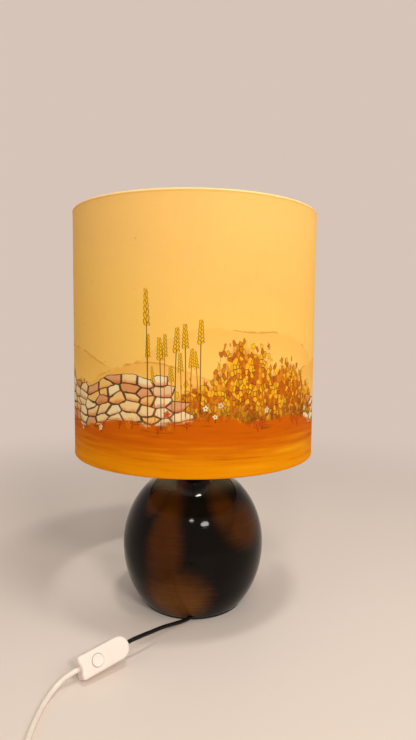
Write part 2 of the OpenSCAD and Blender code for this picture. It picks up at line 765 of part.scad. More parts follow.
module button_spring() {
    color("silver") at_switch() tube(spring_path, spring_wire, 6);
}

module contact_bridge() {
    color("goldenrod") at_switch() translate([-button_off, 0, bridge_z]) difference() {
        translate([-bridge_l / 2, -bridge_w / 2, 0]) cube([bridge_l, bridge_w, bridge_t]);
        translate([0, 0, -1]) cylinder(r = stem_r + fit_gap, h = bridge_t + 2);
    }
}

// Two angled strips stand on the floor, with their tabs under the bridge's ends
module switch_contacts() {
    color("goldenrod") at_switch() for (side = [0, 1]) translate([-button_off, 0, 0]) mirror([side, 0, 0])
        translate([0, contact_w / 2, 0]) rotate([90, 0, 0]) linear_extrude(contact_w)
            polygon([[contact_reach - contact_tab, contact_top_z - contact_t], [contact_reach - contact_tab, contact_top_z],
                [contact_reach, contact_top_z], [contact_reach, switch_wall], [contact_reach - contact_t, switch_wall],
                [contact_reach - contact_t, contact_top_z - contact_t]]);
}

module neutral_link() {
    color("goldenrod") at_switch() translate([-button_off - link_l / 4, link_y - link_w, switch_wall])
        cube([link_l, link_w, strip_t]);
}

// Saddles hold each lead down under the roof
module cord_clamps() {
    color("#f4efe6") at_switch() for (i = [0, 1]) translate([clamp_x[i], 0, split_z]) difference() {
        translate([-clamp_l / 2, -clamp_w / 2, 0]) cube([clamp_l, clamp_w, roof_z - split_z - fit_gap]);
        translate([-clamp_l, 0, 0]) rotate([0, 90, 0])
            cylinder(r = (i == 0 ? white_d : black_d) / 2 + fit_gap, h = 2 * clamp_l);
    }
}

module switch_screws() {
    color("silver") at_switch() for (p = screw_at) translate([p.x, p.y, screw_recess]) {
        cylinder(d = screw_head_d, h = screw_head_h);
        cylinder(d = screw_d, h = roof_z - 2 - screw_recess);
    }
}

// Leads
module inner_lead() {
    color("#0c0c0c") tube(inner_route, black_d, 10, [-sin(outlet_heading), cos(outlet_heading), 0]);
}

module holder_wires() {
    color("#6a3a1c") for (side = [-1, 1]) tube([[side * 1.3, 0, 238], [side * 1.3, 0, 238.8],
        [side * 1.7, 0, 240], [side * 3, 0, 241.2], [side * 5, 0, 241.7], [side * 7.9, 0, 241.7]], 2, 8, [0, 1, 0]);
}

module cord_black() {
    color("#0c0c0c") tube(black_route, black_d, 10);
}

module cord_white() {
    color("#f0ebe2") tube(white_route, white_d, 10);
}

module cord_coil() {
    color("#f0ebe2") tube(coil_path, white_d, 6);
}

module coil_tie() {
    inner_w = coil_pitch * coil_turns + white_d + 1;
    inner_h = white_d + coil_pitch + 4 * fit_gap;
    color("#1c1c1c") translate([coil_mid.x + coil_r + white_d / 2 - inner_w / 2, coil_mid.y, tie_t + inner_h / 2])
        rotate([90, 0, 0]) linear_extrude(tie_w, center = true) difference() {
            rounded_rect(inner_w + 2 * tie_t, inner_h + 2 * tie_t, 3);
            rounded_rect(inner_w, inner_h, 2);
        }
}

module cord_tail() {
    color("#f0ebe2") tube(tail_route, white_d, 10);
}

// Plug, along +X from the end of the lead
module at_plug() {
    translate(plug_pos) children();
}

module plug_boot() {
    root_r = plug_t / 2 - 1.4;
    tip_boot_r = white_d / 2 + 1.7;
    ribs = [for (i = [0 : boot_ribs - 1]) let (
        step = boot_l / boot_ribs, r = root_r + (tip_boot_r - root_r) * i / (boot_ribs - 1))
        each [[r, step * i], [r, step * (i + 0.6)], [r - 0.9, step * (i + 0.65)], [r - 0.9, step * (i + 0.95)]]];
    color("#f0ebe2") at_plug() rotate([0, -90, 0]) rotate_extrude() polygon(concat([[white_d / 2 + fit_gap, 0]],
        ribs, [[tip_boot_r - 0.9, boot_l], [white_d / 2 + fit_gap, boot_l]]));
}

module plug_body() {
    half = plug_t / 2;
    // Half width along the body: slim at the cord, full over the last third
    side = [for (i = [0 : 12]) let (s = i / 12)
        [plug_l * s, plug_neck_w / 2 + (plug_w - plug_neck_w) / 2 * smooth(1.5 * s)]];
    back = [for (i = [12 : -1 : 0]) [side[i].x, -side[i].y]];
    color("#f4efe6") at_plug() difference() {
        intersection() {
            translate([0, 0, -half]) linear_extrude(plug_t) polygon(concat(side, back));
            rotate([0, 90, 0]) linear_extrude(plug_l) rounded_rect(plug_t, plug_w, 4);
        }
        for (y = [-1, 1]) translate([plug_l / 2, y * pin_spacing / 2, 0]) rotate([0, 90, 0])
            cylinder(d = pin_root_d + 2 * fit_gap, h = plug_l);
    }
}

module plug_pins() {
    color("silver") at_plug() for (y = [-1, 1]) translate([plug_l / 2, y * pin_spacing / 2, 0]) rotate([0, 90, 0]) {
        // The root is moulded in up to the plug's face, where the pin itself starts
        cylinder(d = pin_root_d, h = plug_l / 2);
        cylinder(d = pin_d, h = plug_l / 2 + pin_l - pin_d / 4);
        translate([0, 0, plug_l / 2 + pin_l - pin_d / 4]) cylinder(d1 = pin_d, d2 = pin_d / 2, h = pin_d / 4);
    }
}

base_ball();
foot_felt();
cord_bush();
crown_washer();
crown_nut();
threaded_tube();
top_cap();
neck_spacer();
holder_cap();
holder_locknut();
holder_core();
centre_contact();
side_contact();
terminal_screws();
holder_sleeve();
shade_ring_lower();
shade_ring_upper();
bulb_contact();
bulb_insulator();
bulb_cap();
bulb_glass();
shade_skin();
shade_wire_top();
shade_wire_bottom();
shade_spider();
switch_base();
switch_cover();
switch_button();
button_spring();
contact_bridge();
switch_contacts();
neutral_link();
cord_clamps();
switch_screws();
inner_lead();
holder_wires();
cord_black();
cord_white();
cord_coil();
coil_tie();
cord_tail();
plug_boot();
plug_body();
plug_pins();
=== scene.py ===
"""Looks of a glazed table lamp: its base, painted shade, fittings, switch, leads and plug."""

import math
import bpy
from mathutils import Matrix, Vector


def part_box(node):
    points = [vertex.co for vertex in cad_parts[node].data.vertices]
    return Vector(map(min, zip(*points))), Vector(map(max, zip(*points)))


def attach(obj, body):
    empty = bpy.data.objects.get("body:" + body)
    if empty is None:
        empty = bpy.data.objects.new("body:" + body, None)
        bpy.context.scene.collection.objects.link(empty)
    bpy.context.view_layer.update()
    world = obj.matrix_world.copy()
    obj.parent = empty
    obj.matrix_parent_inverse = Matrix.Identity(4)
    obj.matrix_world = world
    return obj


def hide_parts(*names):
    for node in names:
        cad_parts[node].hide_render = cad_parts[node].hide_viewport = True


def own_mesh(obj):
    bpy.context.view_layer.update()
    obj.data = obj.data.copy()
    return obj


bl_info = {
    "name": "Glazed Table Lamp",
    "version": (1, 0, 0),
    "blender": (4, 5, 0),
    "location": "3D View > Sidebar > Table Lamp",
    "description": "Builds a glazed table lamp with a painted drum shade around its frame",
    "category": "Add Mesh",
}

from functools import reduce
from itertools import cycle

import bmesh
import bpy
from bpy.props import FloatProperty, FloatVectorProperty, PointerProperty
from mathutils import Matrix, Vector

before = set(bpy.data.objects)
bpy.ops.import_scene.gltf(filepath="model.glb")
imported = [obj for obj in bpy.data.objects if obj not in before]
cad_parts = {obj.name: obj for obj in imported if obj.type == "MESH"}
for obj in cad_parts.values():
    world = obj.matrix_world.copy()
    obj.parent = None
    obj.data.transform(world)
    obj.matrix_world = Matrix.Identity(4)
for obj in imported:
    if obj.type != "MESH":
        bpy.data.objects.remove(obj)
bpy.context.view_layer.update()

MM = 0.001
TINY = 1e-6
FULL_TURN = 2 * math.pi

# Places that the frame gives
BALL_LOW, BALL_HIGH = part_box("base_ball")
SHADE_LOW, SHADE_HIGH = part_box("shade_skin")
BULB_LOW, BULB_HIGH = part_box("bulb_glass")
PLUG_LOW, PLUG_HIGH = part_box("plug_body")
BOOT_LOW, BOOT_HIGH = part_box("plug_boot")
TUBE_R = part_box("threaded_tube")[1].x
SHADE_R = SHADE_HIGH.x
SHADE_H = SHADE_HIGH.z - SHADE_LOW.z

# Routes of the free leads, in metres, as the solids follow them
BLACK_ROUTE = [
    (0.0064, -0.0683, 0.006), (0, -0.076, 0.006), (-0.004, -0.0808, 0.006),
    (-0.0086, -0.0864, 0.0065), (-0.0142, -0.0928, 0.0078), (-0.0208, -0.1002, 0.0098),
    (-0.028, -0.1084, 0.0122), (-0.0352, -0.1172, 0.0149), (-0.042, -0.1266, 0.0177),
    (-0.0484, -0.136, 0.0202), (-0.0546, -0.1444, 0.0222), (-0.0608, -0.1514, 0.0236),
    (-0.0677, -0.15792, 0.02405), (-0.07475, -0.16341, 0.02395), (-0.0818, -0.1689, 0.02286),
    (-0.08963, -0.17499, 0.02164),
]
WHITE_ROUTE = [
    (-0.12566, -0.20304, 0.01603), (-0.13271, -0.20853, 0.01494), (-0.13741, -0.21219, 0.0142),
    (-0.142, -0.2154, 0.0129), (-0.1462, -0.2188, 0.0112), (-0.150, -0.2226, 0.0092),
    (-0.1533, -0.2272, 0.0071), (-0.1562, -0.2328, 0.0052), (-0.1588, -0.2398, 0.0037),
    (-0.1608, -0.2484, 0.003), (-0.1618, -0.2586, 0.003), (-0.1623, -0.269, 0.003),
    (-0.1626, -0.280, 0.003), (-0.1626, -0.291, 0.003), (-0.1622, -0.303, 0.003),
    (-0.1614, -0.317, 0.003), (-0.1606, -0.333, 0.003), (-0.160, -0.348, 0.0036),
    (-0.160, -0.362, 0.0042), (-0.160, -0.374, 0.0042),
]
TAIL_ROUTE = [
    (-0.107, -0.427, 0.0108), (-0.099, -0.427, 0.0108), (-0.088, -0.427, 0.0094),
    (-0.078, -0.427, 0.0076), (-0.067, -0.427, 0.007), (-0.055, -0.427, 0.007),
    (-0.042, -0.427, 0.007),
]

# Thin glaze: degrees from the front, height in metres, half width in degrees, half height
THIN_GLAZE = [
    (-23, 0.122, 16, 0.080), (-13, 0.040, 30, 0.046), (-42, 0.168, 14, 0.022),
    (31, 0.160, 15, 0.032), (51, 0.134, 24, 0.030), (110, 0.060, 30, 0.060),
    (160, 0.130, 26, 0.060), (-150, 0.050, 28, 0.050), (-108, 0.130, 18, 0.050),
]

# The painting's layout, in metres along the shade from its front and up from its lower edge.
# Bushes: middle, foot, half width, height. Walls: start, end, courses. Wheat: start, end.
BUSHES = [
    (-0.232, 0.062, 0.040, 0.066), (-0.178, 0.064, 0.032, 0.046), (0.006, 0.060, 0.036, 0.056),
    (0.066, 0.060, 0.054, 0.104), (0.124, 0.060, 0.050, 0.080), (0.174, 0.062, 0.036, 0.046),
    (0.300, 0.062, 0.050, 0.074), (0.352, 0.060, 0.042, 0.054), (0.470, 0.062, 0.054, 0.082),
    (-0.330, 0.062, 0.054, 0.092), (-0.390, 0.060, 0.040, 0.058), (-0.500, 0.062, 0.050, 0.064),
]
WALLS = [(-0.262, -0.020, 5.2), (0.186, 0.272, 3.8), (0.372, 0.466, 3.3), (-0.480, -0.372, 3.8)]
WHEAT = [(-0.056, 0.010), (0.262, 0.330), (-0.345, -0.290), (0.480, 0.540), (-0.460, -0.410)]


def tone(red, green, blue):
    """An 8-bit display colour as linear red, green and blue."""
    shares = [channel / 255 for channel in (red, green, blue)]
    return tuple(s / 12.92 if s <= 0.04045 else ((s + 0.055) / 1.055) ** 2.4 for s in shares)


def shaded(colour, *shares):
    """A colour times one share, or times one share for each of its channels."""
    return tuple(channel * share for channel, share in zip(colour, cycle(shares)))


def ease(share):
    """Runs smoothly from 0 to 1."""
    return share * share * (3 - 2 * share)


# Settings


def colour_prop(name, description, shown):
    """A colour setting, whose default is an 8-bit display colour."""
    return FloatVectorProperty(
        name=name, description=description, subtype="COLOR", min=0, max=1, size=3,
        default=tone(*shown),
    )


def number_prop(name, description, default, **kind):
    """A number setting."""
    return FloatProperty(name=name, description=description, default=default, **kind)


def length_prop(name, description, default):
    """A length setting, in metres."""
    return number_prop(name, description, default, subtype="DISTANCE", unit="LENGTH")


def angle_prop(name, description, degrees):
    """An angle setting, whose default is in degrees."""
    return number_prop(name, description, math.radians(degrees), subtype="ANGLE")


class LampBaseSettings(bpy.types.PropertyGroup):
    """Shape and glaze of the round base."""

    waist_z: length_prop("Waist height", "Height of the widest line above the table", 0.087)
    foot_r: length_prop("Foot radius", "Radius of the foot", 0.076)
    wall: length_prop("Wall", "Thickness of the ceramic", 0.006)
    crown_r: length_prop("Crown radius", "Radius of the flat land on the crown", 0.015)
    outlet_r: length_prop("Outlet radius", "Radius of the notch for the lead", 0.0041)
    ring_pitch: length_prop("Throwing rings", "Distance between the glaze's fine rings", 0.0016)
    gloss: number_prop("Gloss", "Strength of the glaze's reflection", 0.10, min=0, max=1)
    glaze_black: colour_prop("Black glaze", "Where the glaze runs thick", (13, 9, 6))
    glaze_brown: colour_prop("Brown glaze", "Where the glaze runs thin", (76, 38, 2))
    glaze_rust: colour_prop("Rust glaze", "Warm patches low on the base", (112, 68, 26))


class LampShadeSettings(bpy.types.PropertyGroup):
    """Cloth and painting of the drum shade."""

    roll_r: length_prop("Roll radius", "Radius of the rolled edges", 0.0029)
    hem: length_prop("Hem", "Height of the folded hem inside each edge", 0.008)
    cloth: length_prop("Cloth", "Thickness of the cloth on its liner", 0.0012)
    sky: colour_prop("Sky", "Pale wash of the upper cloth", (250, 200, 101))
    sky_deep: colour_prop("Deep sky", "Golden wash under the upper edge", (251, 201, 115))
    ground: colour_prop("Ground", "Orange wash along the lower edge", (231, 143, 0))
    ground_deep: colour_prop("Deep ground", "Brown-orange wash along the horizon", (203, 94, 2))
    # Painted highlight: the paler colour of the rolled edge where it catches the light
    rim: colour_prop("Rim", "Paler cloth of the rolled edge", (255, 226, 164))
    hill: colour_prop("Hills", "Wash of the far hills", (241, 180, 82))
    leaf: colour_prop("Leaves", "Bright dabs in the bushes", (242, 182, 30))
    leaf_deep: colour_prop("Deep leaves", "Shaded dabs in the bushes", (190, 94, 12))
    stone: colour_prop("Stone", "Pale stones of the field wall", (244, 222, 172))
    poppy: colour_prop("Poppies", "Small flowers along the meadow", (216, 78, 14))
    ink: colour_prop("Ink", "Brush lines", (60, 30, 12))
    liner: colour_prop("Liner", "Stiff sheet inside the shade", (238, 226, 200))


class LampCordSettings(bpy.types.PropertyGroup):
    """Leads, switch and plug."""

    black_d: length_prop("Black lead", "Diameter of the lead between base and switch", 0.005)
    white_d: length_prop("White lead", "Diameter of the lead between switch and plug", 0.006)
    switch_l: length_prop("Switch length", "Length of the in-line switch", 0.064)
    switch_w: length_prop("Switch width", "Width of the in-line switch", 0.0265)
    switch_h: length_prop("Switch height", "Height of the in-line switch", 0.020)
    switch_lean: angle_prop("Switch lean", "Lean of the switch on its long edge", 60)
    switch_turn: angle_prop("Switch turn", "Direction of the switch on the table", 37.9)
    switch_rise: angle_prop("Switch rise", "Rise of the switch's round end", 7)
    button_d: length_prop("Button", "Diameter of the push button", 0.014)
    button_off: length_prop("Button offset", "Distance of the button from the middle", 0.0105)
    coil_r: length_prop("Coil radius", "Radius of the coil's outer turn", 0.047)
    coil_pitch: length_prop("Coil pitch", "Step from turn to turn and from layer to layer", 0.0066)
    coil_turns: number_prop("Coil turns", "Turns in each of the coil's two layers", 3.125)
    plastic: colour_prop("White plastic", "Moulded shells of switch and plug", (240, 228, 217))
    sheath: colour_prop("White sheath", "Sheath of the white lead", (242, 230, 217))


class LampStageSettings(bpy.types.PropertyGroup):
    """Floor, light and camera."""

    floor: colour_prop("Floor", "Pale floor", (232, 219, 209))
    backdrop: colour_prop("Backdrop", "Pale backdrop behind the lamp", (214, 196, 184))
    lens: number_prop("Lens", "Focal length for a 36 mm sensor", 26.27, subtype="DISTANCE_CAMERA")
    camera: FloatVectorProperty(
        name="Camera", description="Place of the camera", subtype="TRANSLATION",
        default=(0, -0.807, 0.411),
    )
    pitch: angle_prop("Pitch", "Tilt down", 4.5)
    yaw: angle_prop("Yaw", "Turn to the right", 1.46)
    roll: angle_prop("Roll", "Lean of the camera", 0.5)


SETTINGS = {
    "lamp_base": LampBaseSettings,
    "lamp_shade": LampShadeSettings,
    "lamp_cords": LampCordSettings,
    "lamp_stage": LampStageSettings,
}


# Shader graphs


class Value:
    """A shader value that takes part in Python expressions: each operation adds one Math node."""

    def __init__(self, graph, socket):
        self.graph = graph
        self.socket = socket

    def math(self, operation, *others):
        return self.graph.math(operation, self, *others)

    def __add__(self, other):
        return self.math("ADD", other)

    def __sub__(self, other):
        return self.math("SUBTRACT", other)

    def __rsub__(self, other):
        return self.graph.math("SUBTRACT", other, self)

    def __mul__(self, other):
        return self.math("MULTIPLY", other)

    def __truediv__(self, other):
        return self.math("DIVIDE", other)

    def __rtruediv__(self, other):
        return self.graph.math("DIVIDE", other, self)

    def __pow__(self, other):
        return self.math("POWER", other)

    def __abs__(self):
        return self.math("ABSOLUTE")

    __radd__ = __add__
    __rmul__ = __mul__

    def most(self, other):
        return self.math("MAXIMUM", other)

    def swing(self, size):
        """A noise about 0, by half of a size each way."""
        return (self - 0.5) * size

    def fade(self, start, end):
        """Runs smoothly from 0 at start to 1 at end."""
        return self.graph.node(
            "ShaderNodeMapRange",
            {"interpolation_type": "SMOOTHSTEP"},
            {"Value": self, "From Min": start, "From Max": end},
        )

    def between(self, start, end, soft_start, soft_end):
        """1 from start to end and 0 outside, with soft ends."""
        rise = self.fade(start - soft_start, start + soft_start)
        return rise * self.fade(end + soft_end, end - soft_end)

    def beside(self, output):
        """Another output of the node that this value comes from."""
        return Value(self.graph, self.socket.node.outputs[output])


def straight(first, second):
    """The straight distance made by two distances at right angles."""
    return (first * first + second * second) ** 0.5


class Graph:
    """The node tree of a new material or of a new world."""

    def __init__(self, name, family="materials"):
        self.owner = getattr(bpy.data, family).new(name)
        self.owner.use_nodes = True
        self.tree = self.owner.node_tree
        self.tree.nodes.clear()

    def node(self, kind, settings=None, inputs=None, output=0):
        """Adds a node: its settings are set first, then the values or links of its sockets."""
        made = self.tree.nodes.new(kind)
        for key, setting in (settings or {}).items():
            setattr(made, key, setting)
        for key, given in (inputs or {}).items():
            if isinstance(given, Value):
                self.tree.links.new(given.socket, made.inputs[key])
            else:
                made.inputs[key].default_value = given
        return Value(self, made.outputs[output]) if made.outputs else None

    def math(self, operation, *terms):
        return self.node("ShaderNodeMath", {"operation": operation}, dict(enumerate(terms)))

    def place(self):
        """Object coordinates, as a vector and as its three numbers."""
        vector = self.node("ShaderNodeTexCoord", output="Object")
        x = self.node("ShaderNodeSeparateXYZ", None, {0: vector})
        return vector, x, x.beside("Y"), x.beside("Z")

    def vector(self, x, y, z):
        return self.node("ShaderNodeCombineXYZ", None, {0: x, 1: y, 2: z})

    def split(self, colour):
        """The three numbers of a random colour."""
        red = self.node("ShaderNodeSeparateColor", None, {0: colour})
        return red, red.beside("Green"), red.beside("Blue")

    def lots(self, number):
        """Three random numbers that belong to a whole number."""
        line = {"noise_dimensions": "1D"}
        return self.split(self.node("ShaderNodeTexWhiteNoise", line, {"W": number}, "Color"))

    def cells(self, across, up, spread):
        """Random cells: three chances, the middle, and the distances from edge and middle."""
        plane = {"voronoi_dimensions": "2D"}
        sockets = {"Vector": self.vector(across, up, 0.0), "Scale": 1.0, "Randomness": spread}
        chance = self.node("ShaderNodeTexVoronoi", plane, sockets, "Color")
        plane["feature"] = "DISTANCE_TO_EDGE"
        gap = self.node("ShaderNodeTexVoronoi", plane, sockets)
        x = self.node("ShaderNodeSeparateXYZ", None, {0: chance.beside("Position")})
        return self.split(chance), (x, x.beside("Y")), gap, chance.beside("Distance")

    def noise(self, where, scale, detail=3.0, roughness=0.55):
        sockets = {"Vector": where, "Scale": scale, "Detail": detail, "Roughness": roughness}
        return self.node("ShaderNodeTexNoise", None, sockets)

    def mix(self, share, first, second, blend="MIX"):
        first, second = [c if isinstance(c, Value) else (*c, 1) for c in (first, second)]
        settings = {"data_type": "RGBA", "blend_type": blend}
        return self.node("ShaderNodeMix", settings, {0: share, 6: first, 7: second}, 2)

    def bump(self, height, distance):
        sockets = {"Height": height, "Distance": distance, "Strength": 1.0}
        return self.node("ShaderNodeBump", None, sockets)

    def seen(self):
        """1 on rays that show a surface itself: to the camera, in gloss and through glass."""
        rays = self.node("ShaderNodeLightPath", output="Is Camera Ray")
        return rays.most(rays.beside("Is Glossy Ray")).most(rays.beside("Is Transmission Ray"))

    def surface(self, **sockets):
        """Ends a material with a principled surface, whose sockets are named with underscores."""
        named = {k.replace("_", " ").title().replace("Ior", "IOR"): v for k, v in sockets.items()}
        return self.close(self.node("ShaderNodeBsdfPrincipled", None, named))

    def close(self, shader, kind="ShaderNodeOutputMaterial"):
        """Ends the graph with its shader."""
        self.node(kind, None, {"Surface": shader})
        return self.owner


# Finishes


def mottled(name, light, dark, roughness, spread, scale, bump, **more):
    """A finish of two close tones, with uneven gloss and a fine grain."""
    graph = Graph(name)
    where = graph.place()[0]
    cloud = graph.noise(where, scale)
    grain = graph.noise(where, scale * 9, 2.0)
    return graph.surface(
        base_color=graph.mix(cloud.fade(0.3, 0.7), dark, light),
        roughness=roughness + grain.swing(spread),
        normal=graph.bump(grain, bump),
        **more,
    )


def turned_metal(name, colour, roughness):
    """Metal with fine rings from the lathe."""
    graph = Graph(name)
    where, x, y, z = graph.place()
    rings = graph.noise(graph.vector(x * 40, y * 40, z * 3200), 1.0, 2.0)
    dull = graph.noise(where, 90)
    return graph.surface(
        base_color=graph.mix(dull.fade(0.35, 0.8), colour, shaded(colour, 0.72)),
        roughness=roughness + rings.swing(0.18),
        metallic=1.0,
        normal=graph.bump(rings, 0.00004),
    )


def plastic_material(name, colour):
    """Moulded plastic with a faint spark-eroded grain and handling marks."""
    graph = Graph(name)
    where = graph.place()[0]
    grain = graph.noise(where, 1400.0, 1.0)
    marks = graph.noise(where, 60.0, 5.0)
    return graph.surface(
        base_color=graph.mix(marks.fade(0.5, 0.8) * 0.5, colour, shaded(colour, 0.95, 0.92, 0.87)),
        roughness=0.34 + marks.swing(0.16),
        normal=graph.bump(grain, 0.00002),
        coat_weight=0.15,
        coat_roughness=0.2,
    )


def sheath_material(name, colour, gloss=0.4):
    """Soft sheath of a lead, with a faint bloom."""
    return mottled(
        name, colour, shaded(colour, 0.9), 0.42, 0.12, 130, 0.00002, specular_ior_level=gloss
    )


def liner_material():
    """Stiff, slightly uneven sheet inside the shade."""
    look = bpy.context.scene.lamp_shade
    graph = Graph("shade_liner")
    where, x, y, z = graph.place()
    cloud = graph.noise(where, 12.0)
    fleck = graph.noise(graph.vector(x * 700, y * 700, z * 90), 1.0, 2.0)
    aged = shaded(look.liner, 0.94, 0.88, 0.78)
    return graph.surface(
        base_color=graph.mix(cloud.fade(0.35, 0.8) * 0.6, look.liner, aged),
        roughness=0.72 + fleck.swing(0.2),
        specular_ior_level=0.2,
        normal=graph.bump(fleck, 0.00005),
    )


def glaze_material():
    """Black glaze that runs thin to brown, with the fine rings of the wheel under the gloss."""
    look = bpy.context.scene.lamp_base
    graph = Graph("mottled_glaze")
    where, x, y, z = graph.place()
    turn = graph.math("ARCTAN2", x, y * -1)
    drift = graph.noise(where, 14.0, 4.0)
    fine = graph.noise(where, 55.0, 4.0)
    streak = graph.noise(graph.vector(x * 12, y * 12, z * 420), 1.0, 3.0)
    rings = graph.noise(graph.vector(x * 3, y * 3, z / look.ring_pitch), 1.0, 2.0)
    orange_peel = graph.noise(where, 230.0, 2.0)

    def patch(angle, height, wide, tall):
        """A soft patch round an angle in degrees and a height in metres."""
        around = (turn - math.radians(angle)).math("WRAP", math.pi, -math.pi)
        away = straight(around / math.radians(wide), (z - height) / tall)
        return (away + drift.swing(0.7) + streak.swing(0.35)).fade(1.3, 0.45)

    thin = reduce(Value.most, [patch(*spot) for spot in THIN_GLAZE])
    low = (z + drift.swing(0.03)).fade(0.085, 0.03)
    brown = graph.mix(low, look.glaze_brown, look.glaze_rust)
    dark = streak.swing(0.9) + fine.swing(0.5) + 0.22
    brown = graph.mix(dark, brown, shaded(look.glaze_brown, 0.4))
    crown = (z + drift.swing(0.008)).fade(0.172, 0.188)
    bare_spot = (straight(x, y + 0.038) + drift.swing(0.012)).fade(0.034, 0.020)
    return graph.surface(
        base_color=graph.mix(thin * 0.95, look.glaze_black, brown),
        roughness=0.07 + streak.swing(0.05) + thin * 0.04,
        normal=graph.bump(rings * 0.8 + orange_peel * 0.2, 0.00005),
        specular_ior_level=look.gloss,
        coat_weight=crown * (1 - bare_spot),
        coat_roughness=0.05,
        coat_ior=1.9,
    )


class ClothPainting:
    """The shade's painted cloth, laid on coat by coat."""

    def __init__(self, look):
        self.look = look
        self.graph = graph = Graph("painted_cloth")
        where, x, y, z = graph.place()
        self.along = graph.math("ARCTAN2", x, y * -1) * SHADE_R
        self.height = z - SHADE_LOW.z
        self.wash = graph.noise(where, 7.0, 4.0)
        self.wobble = graph.noise(where, 38.0, 3.0)
        self.stroke = self.streaks(26, 240, 3.0)
        self.edge = self.wave(0.064, (0.009, 2, 1.2), (0.004, 9, 0.4))
        upper = (self.height + self.wash.swing(0.16)).fade(0.16, 0.36)
        self.painted = graph.mix(upper, look.sky, look.sky_deep)

    def streaks(self, across, up, *detail):
        """Noise that is drawn out along the cloth or up it."""
        where = self.graph.vector(self.along * across, self.height * up, 0.0)
        return self.graph.noise(where, 1.0, *detail)

    def wave(self, base, *swings):
        """The height of a line that swings a whole number of times round the shade."""
        line = base + self.wobble.swing(0.008)
        for size, count, start in swings:
            line = line + (self.along * (count / SHADE_R) + start).math("SINE") * size
        return line

    def columns(self, pitch, seed):
        """Upright columns round the shade: their place, their number and three random numbers."""
        column = self.along / pitch + seed
        number = column.math("FLOOR")
        return column, number, self.graph.lots(number)

    def lay(self, share, colour):
        """Lays a colour over the painting, as strongly as its share says."""
        self.painted = self.graph.mix(share, self.painted, colour)

    def hills(self):
        """Brush marks in the sky, and two ranges of hills with broken crests."""
        self.lay(self.stroke.fade(0.6, 1.0) * 0.2, self.look.sky_deep)
        far = self.wave(0.160, (0.024, 3, 0.6), (0.008, 7, 2.0))
        near = self.wave(0.122, (0.017, 4, 2.9))
        for ridge, share in [(far, 0.45), (near, 0.7)]:
            depth = ridge - self.height
            below = (depth + self.stroke.swing(0.008)).fade(-0.002, 0.003)
            self.lay(below * depth.fade(0.045, 0.0) * share, self.look.hill)
            crest = abs(depth).fade(0.0016, 0.0004) * self.wobble.fade(0.45, 0.6)
            self.lay(crest * 0.45, self.look.leaf_deep)

    def bushes(self):
        """Round bushes of whole leaf dabs in three tones, over a wash and picked out with ink."""
        graph, look, height = self.graph, self.look, self.height
        wide_dab, tall_dab = 0.0039, 0.0063
        ragged = self.streaks(60, 30, 4.0, 0.65)
        (first, second, third), (across, up), gap, _ = graph.cells(
            self.along / wide_dab, height / tall_dab, 1.0
        )

        def crowd(u, v):
            """How far inside the nearest bush a place lies, from 0 at its edge."""
            return reduce(Value.most, [
                1.0 - straight((u - middle) / wide, (v - foot) / tall)
                for middle, foot, wide, tall in BUSHES
            ])

        soft = crowd(self.along, height) + ragged.swing(0.8)
        leafy = crowd(across * wide_dab, up * tall_dab) + (ragged.swing(0.45) + third.swing(0.22))
        whole = leafy.fade(0.0, 0.01)
        shadow = (height + ragged.swing(0.07)).fade(0.100, 0.060)
        leaves = graph.mix(first.fade(0.15, 0.7), look.leaf_deep, look.leaf)
        leaves = graph.mix(second.fade(0.70, 0.76) * 0.7, leaves, look.ground_deep)
        leaves = graph.mix(shadow * 0.55, leaves, look.ink)
        outline = gap.fade(0.14, 0.05) * third.fade(0.48, 0.56)
        self.lay(soft.fade(-0.02, 0.22) * 0.85, look.leaf_deep)
        self.lay(whole * gap.fade(0.02, 0.12) * 0.95, leaves)
        self.lay(whole * outline * 0.75, look.ink)

    def walls(self):
        """Dry walls of whole stones, each shaded below and outlined in ink."""
        graph, look, wobble = self.graph, self.look, self.wobble
        wide, tall = 0.0225, 0.0112
        lifted = (self.height - self.edge) / tall
        (first, second, third), (across, up), gap, _ = graph.cells(
            self.along / wide + wobble.swing(0.25), lifted, 0.8
        )
        middle = across * wide
        coping = reduce(Value.most, [
            middle.between(start, end, 0.012, 0.022) * courses for start, end, courses in WALLS
        ])
        built = (coping - up + second.swing(0.9)).fade(0.44, 0.46) * coping.fade(0.5, 0.6)
        underside = (up - lifted + wobble.swing(0.5)).fade(0.05, 0.55)
        stones = graph.mix(first.fade(0.3, 0.9) * 0.75, look.stone, look.hill)
        stones = graph.mix(third.fade(0.75, 0.8) * 0.6, stones, look.ground_deep)
        stones = graph.mix(underside * 0.65, stones, look.ground_deep)
        stones = graph.mix(wobble.fade(0.58, 0.75) * 0.4, stones, look.leaf_deep)
        outline = (gap + wobble.swing(0.22)).fade(0.100, 0.050)
        self.lay(built, stones)
        self.lay(built * outline * 0.9, look.ink)

    def meadow(self):
        """The meadow's earth in long brush strokes, darkest along its upper edge."""
        graph, look, height, stroke = self.graph, self.look, self.height, self.stroke
        slant = graph.vector(self.along * 9 + height * 40, height * 130, 0.0)
        sweep = graph.noise(slant, 1.0, 3.0)
        depth = self.edge - height
        upper = (height + sweep.swing(0.07) + self.wash.swing(0.03)).fade(0.004, 0.056)
        furrow = stroke.fade(0.55, 0.75) * depth.fade(0.03, 0.0)
        bright = sweep.fade(0.44, 0.25) * depth.fade(0.01, 0.05)
        earth = graph.mix(upper, look.ground, look.ground_deep)
        earth = graph.mix(sweep.fade(0.55, 0.78) * 0.5, earth, shaded(look.ground_deep, 0.6))
        earth = graph.mix(furrow * 0.75, earth, look.ink)
        earth = graph.mix(bright * 0.4, earth, look.leaf)
        self.lay((depth + stroke.swing(0.016)).fade(-0.003, 0.004), earth)

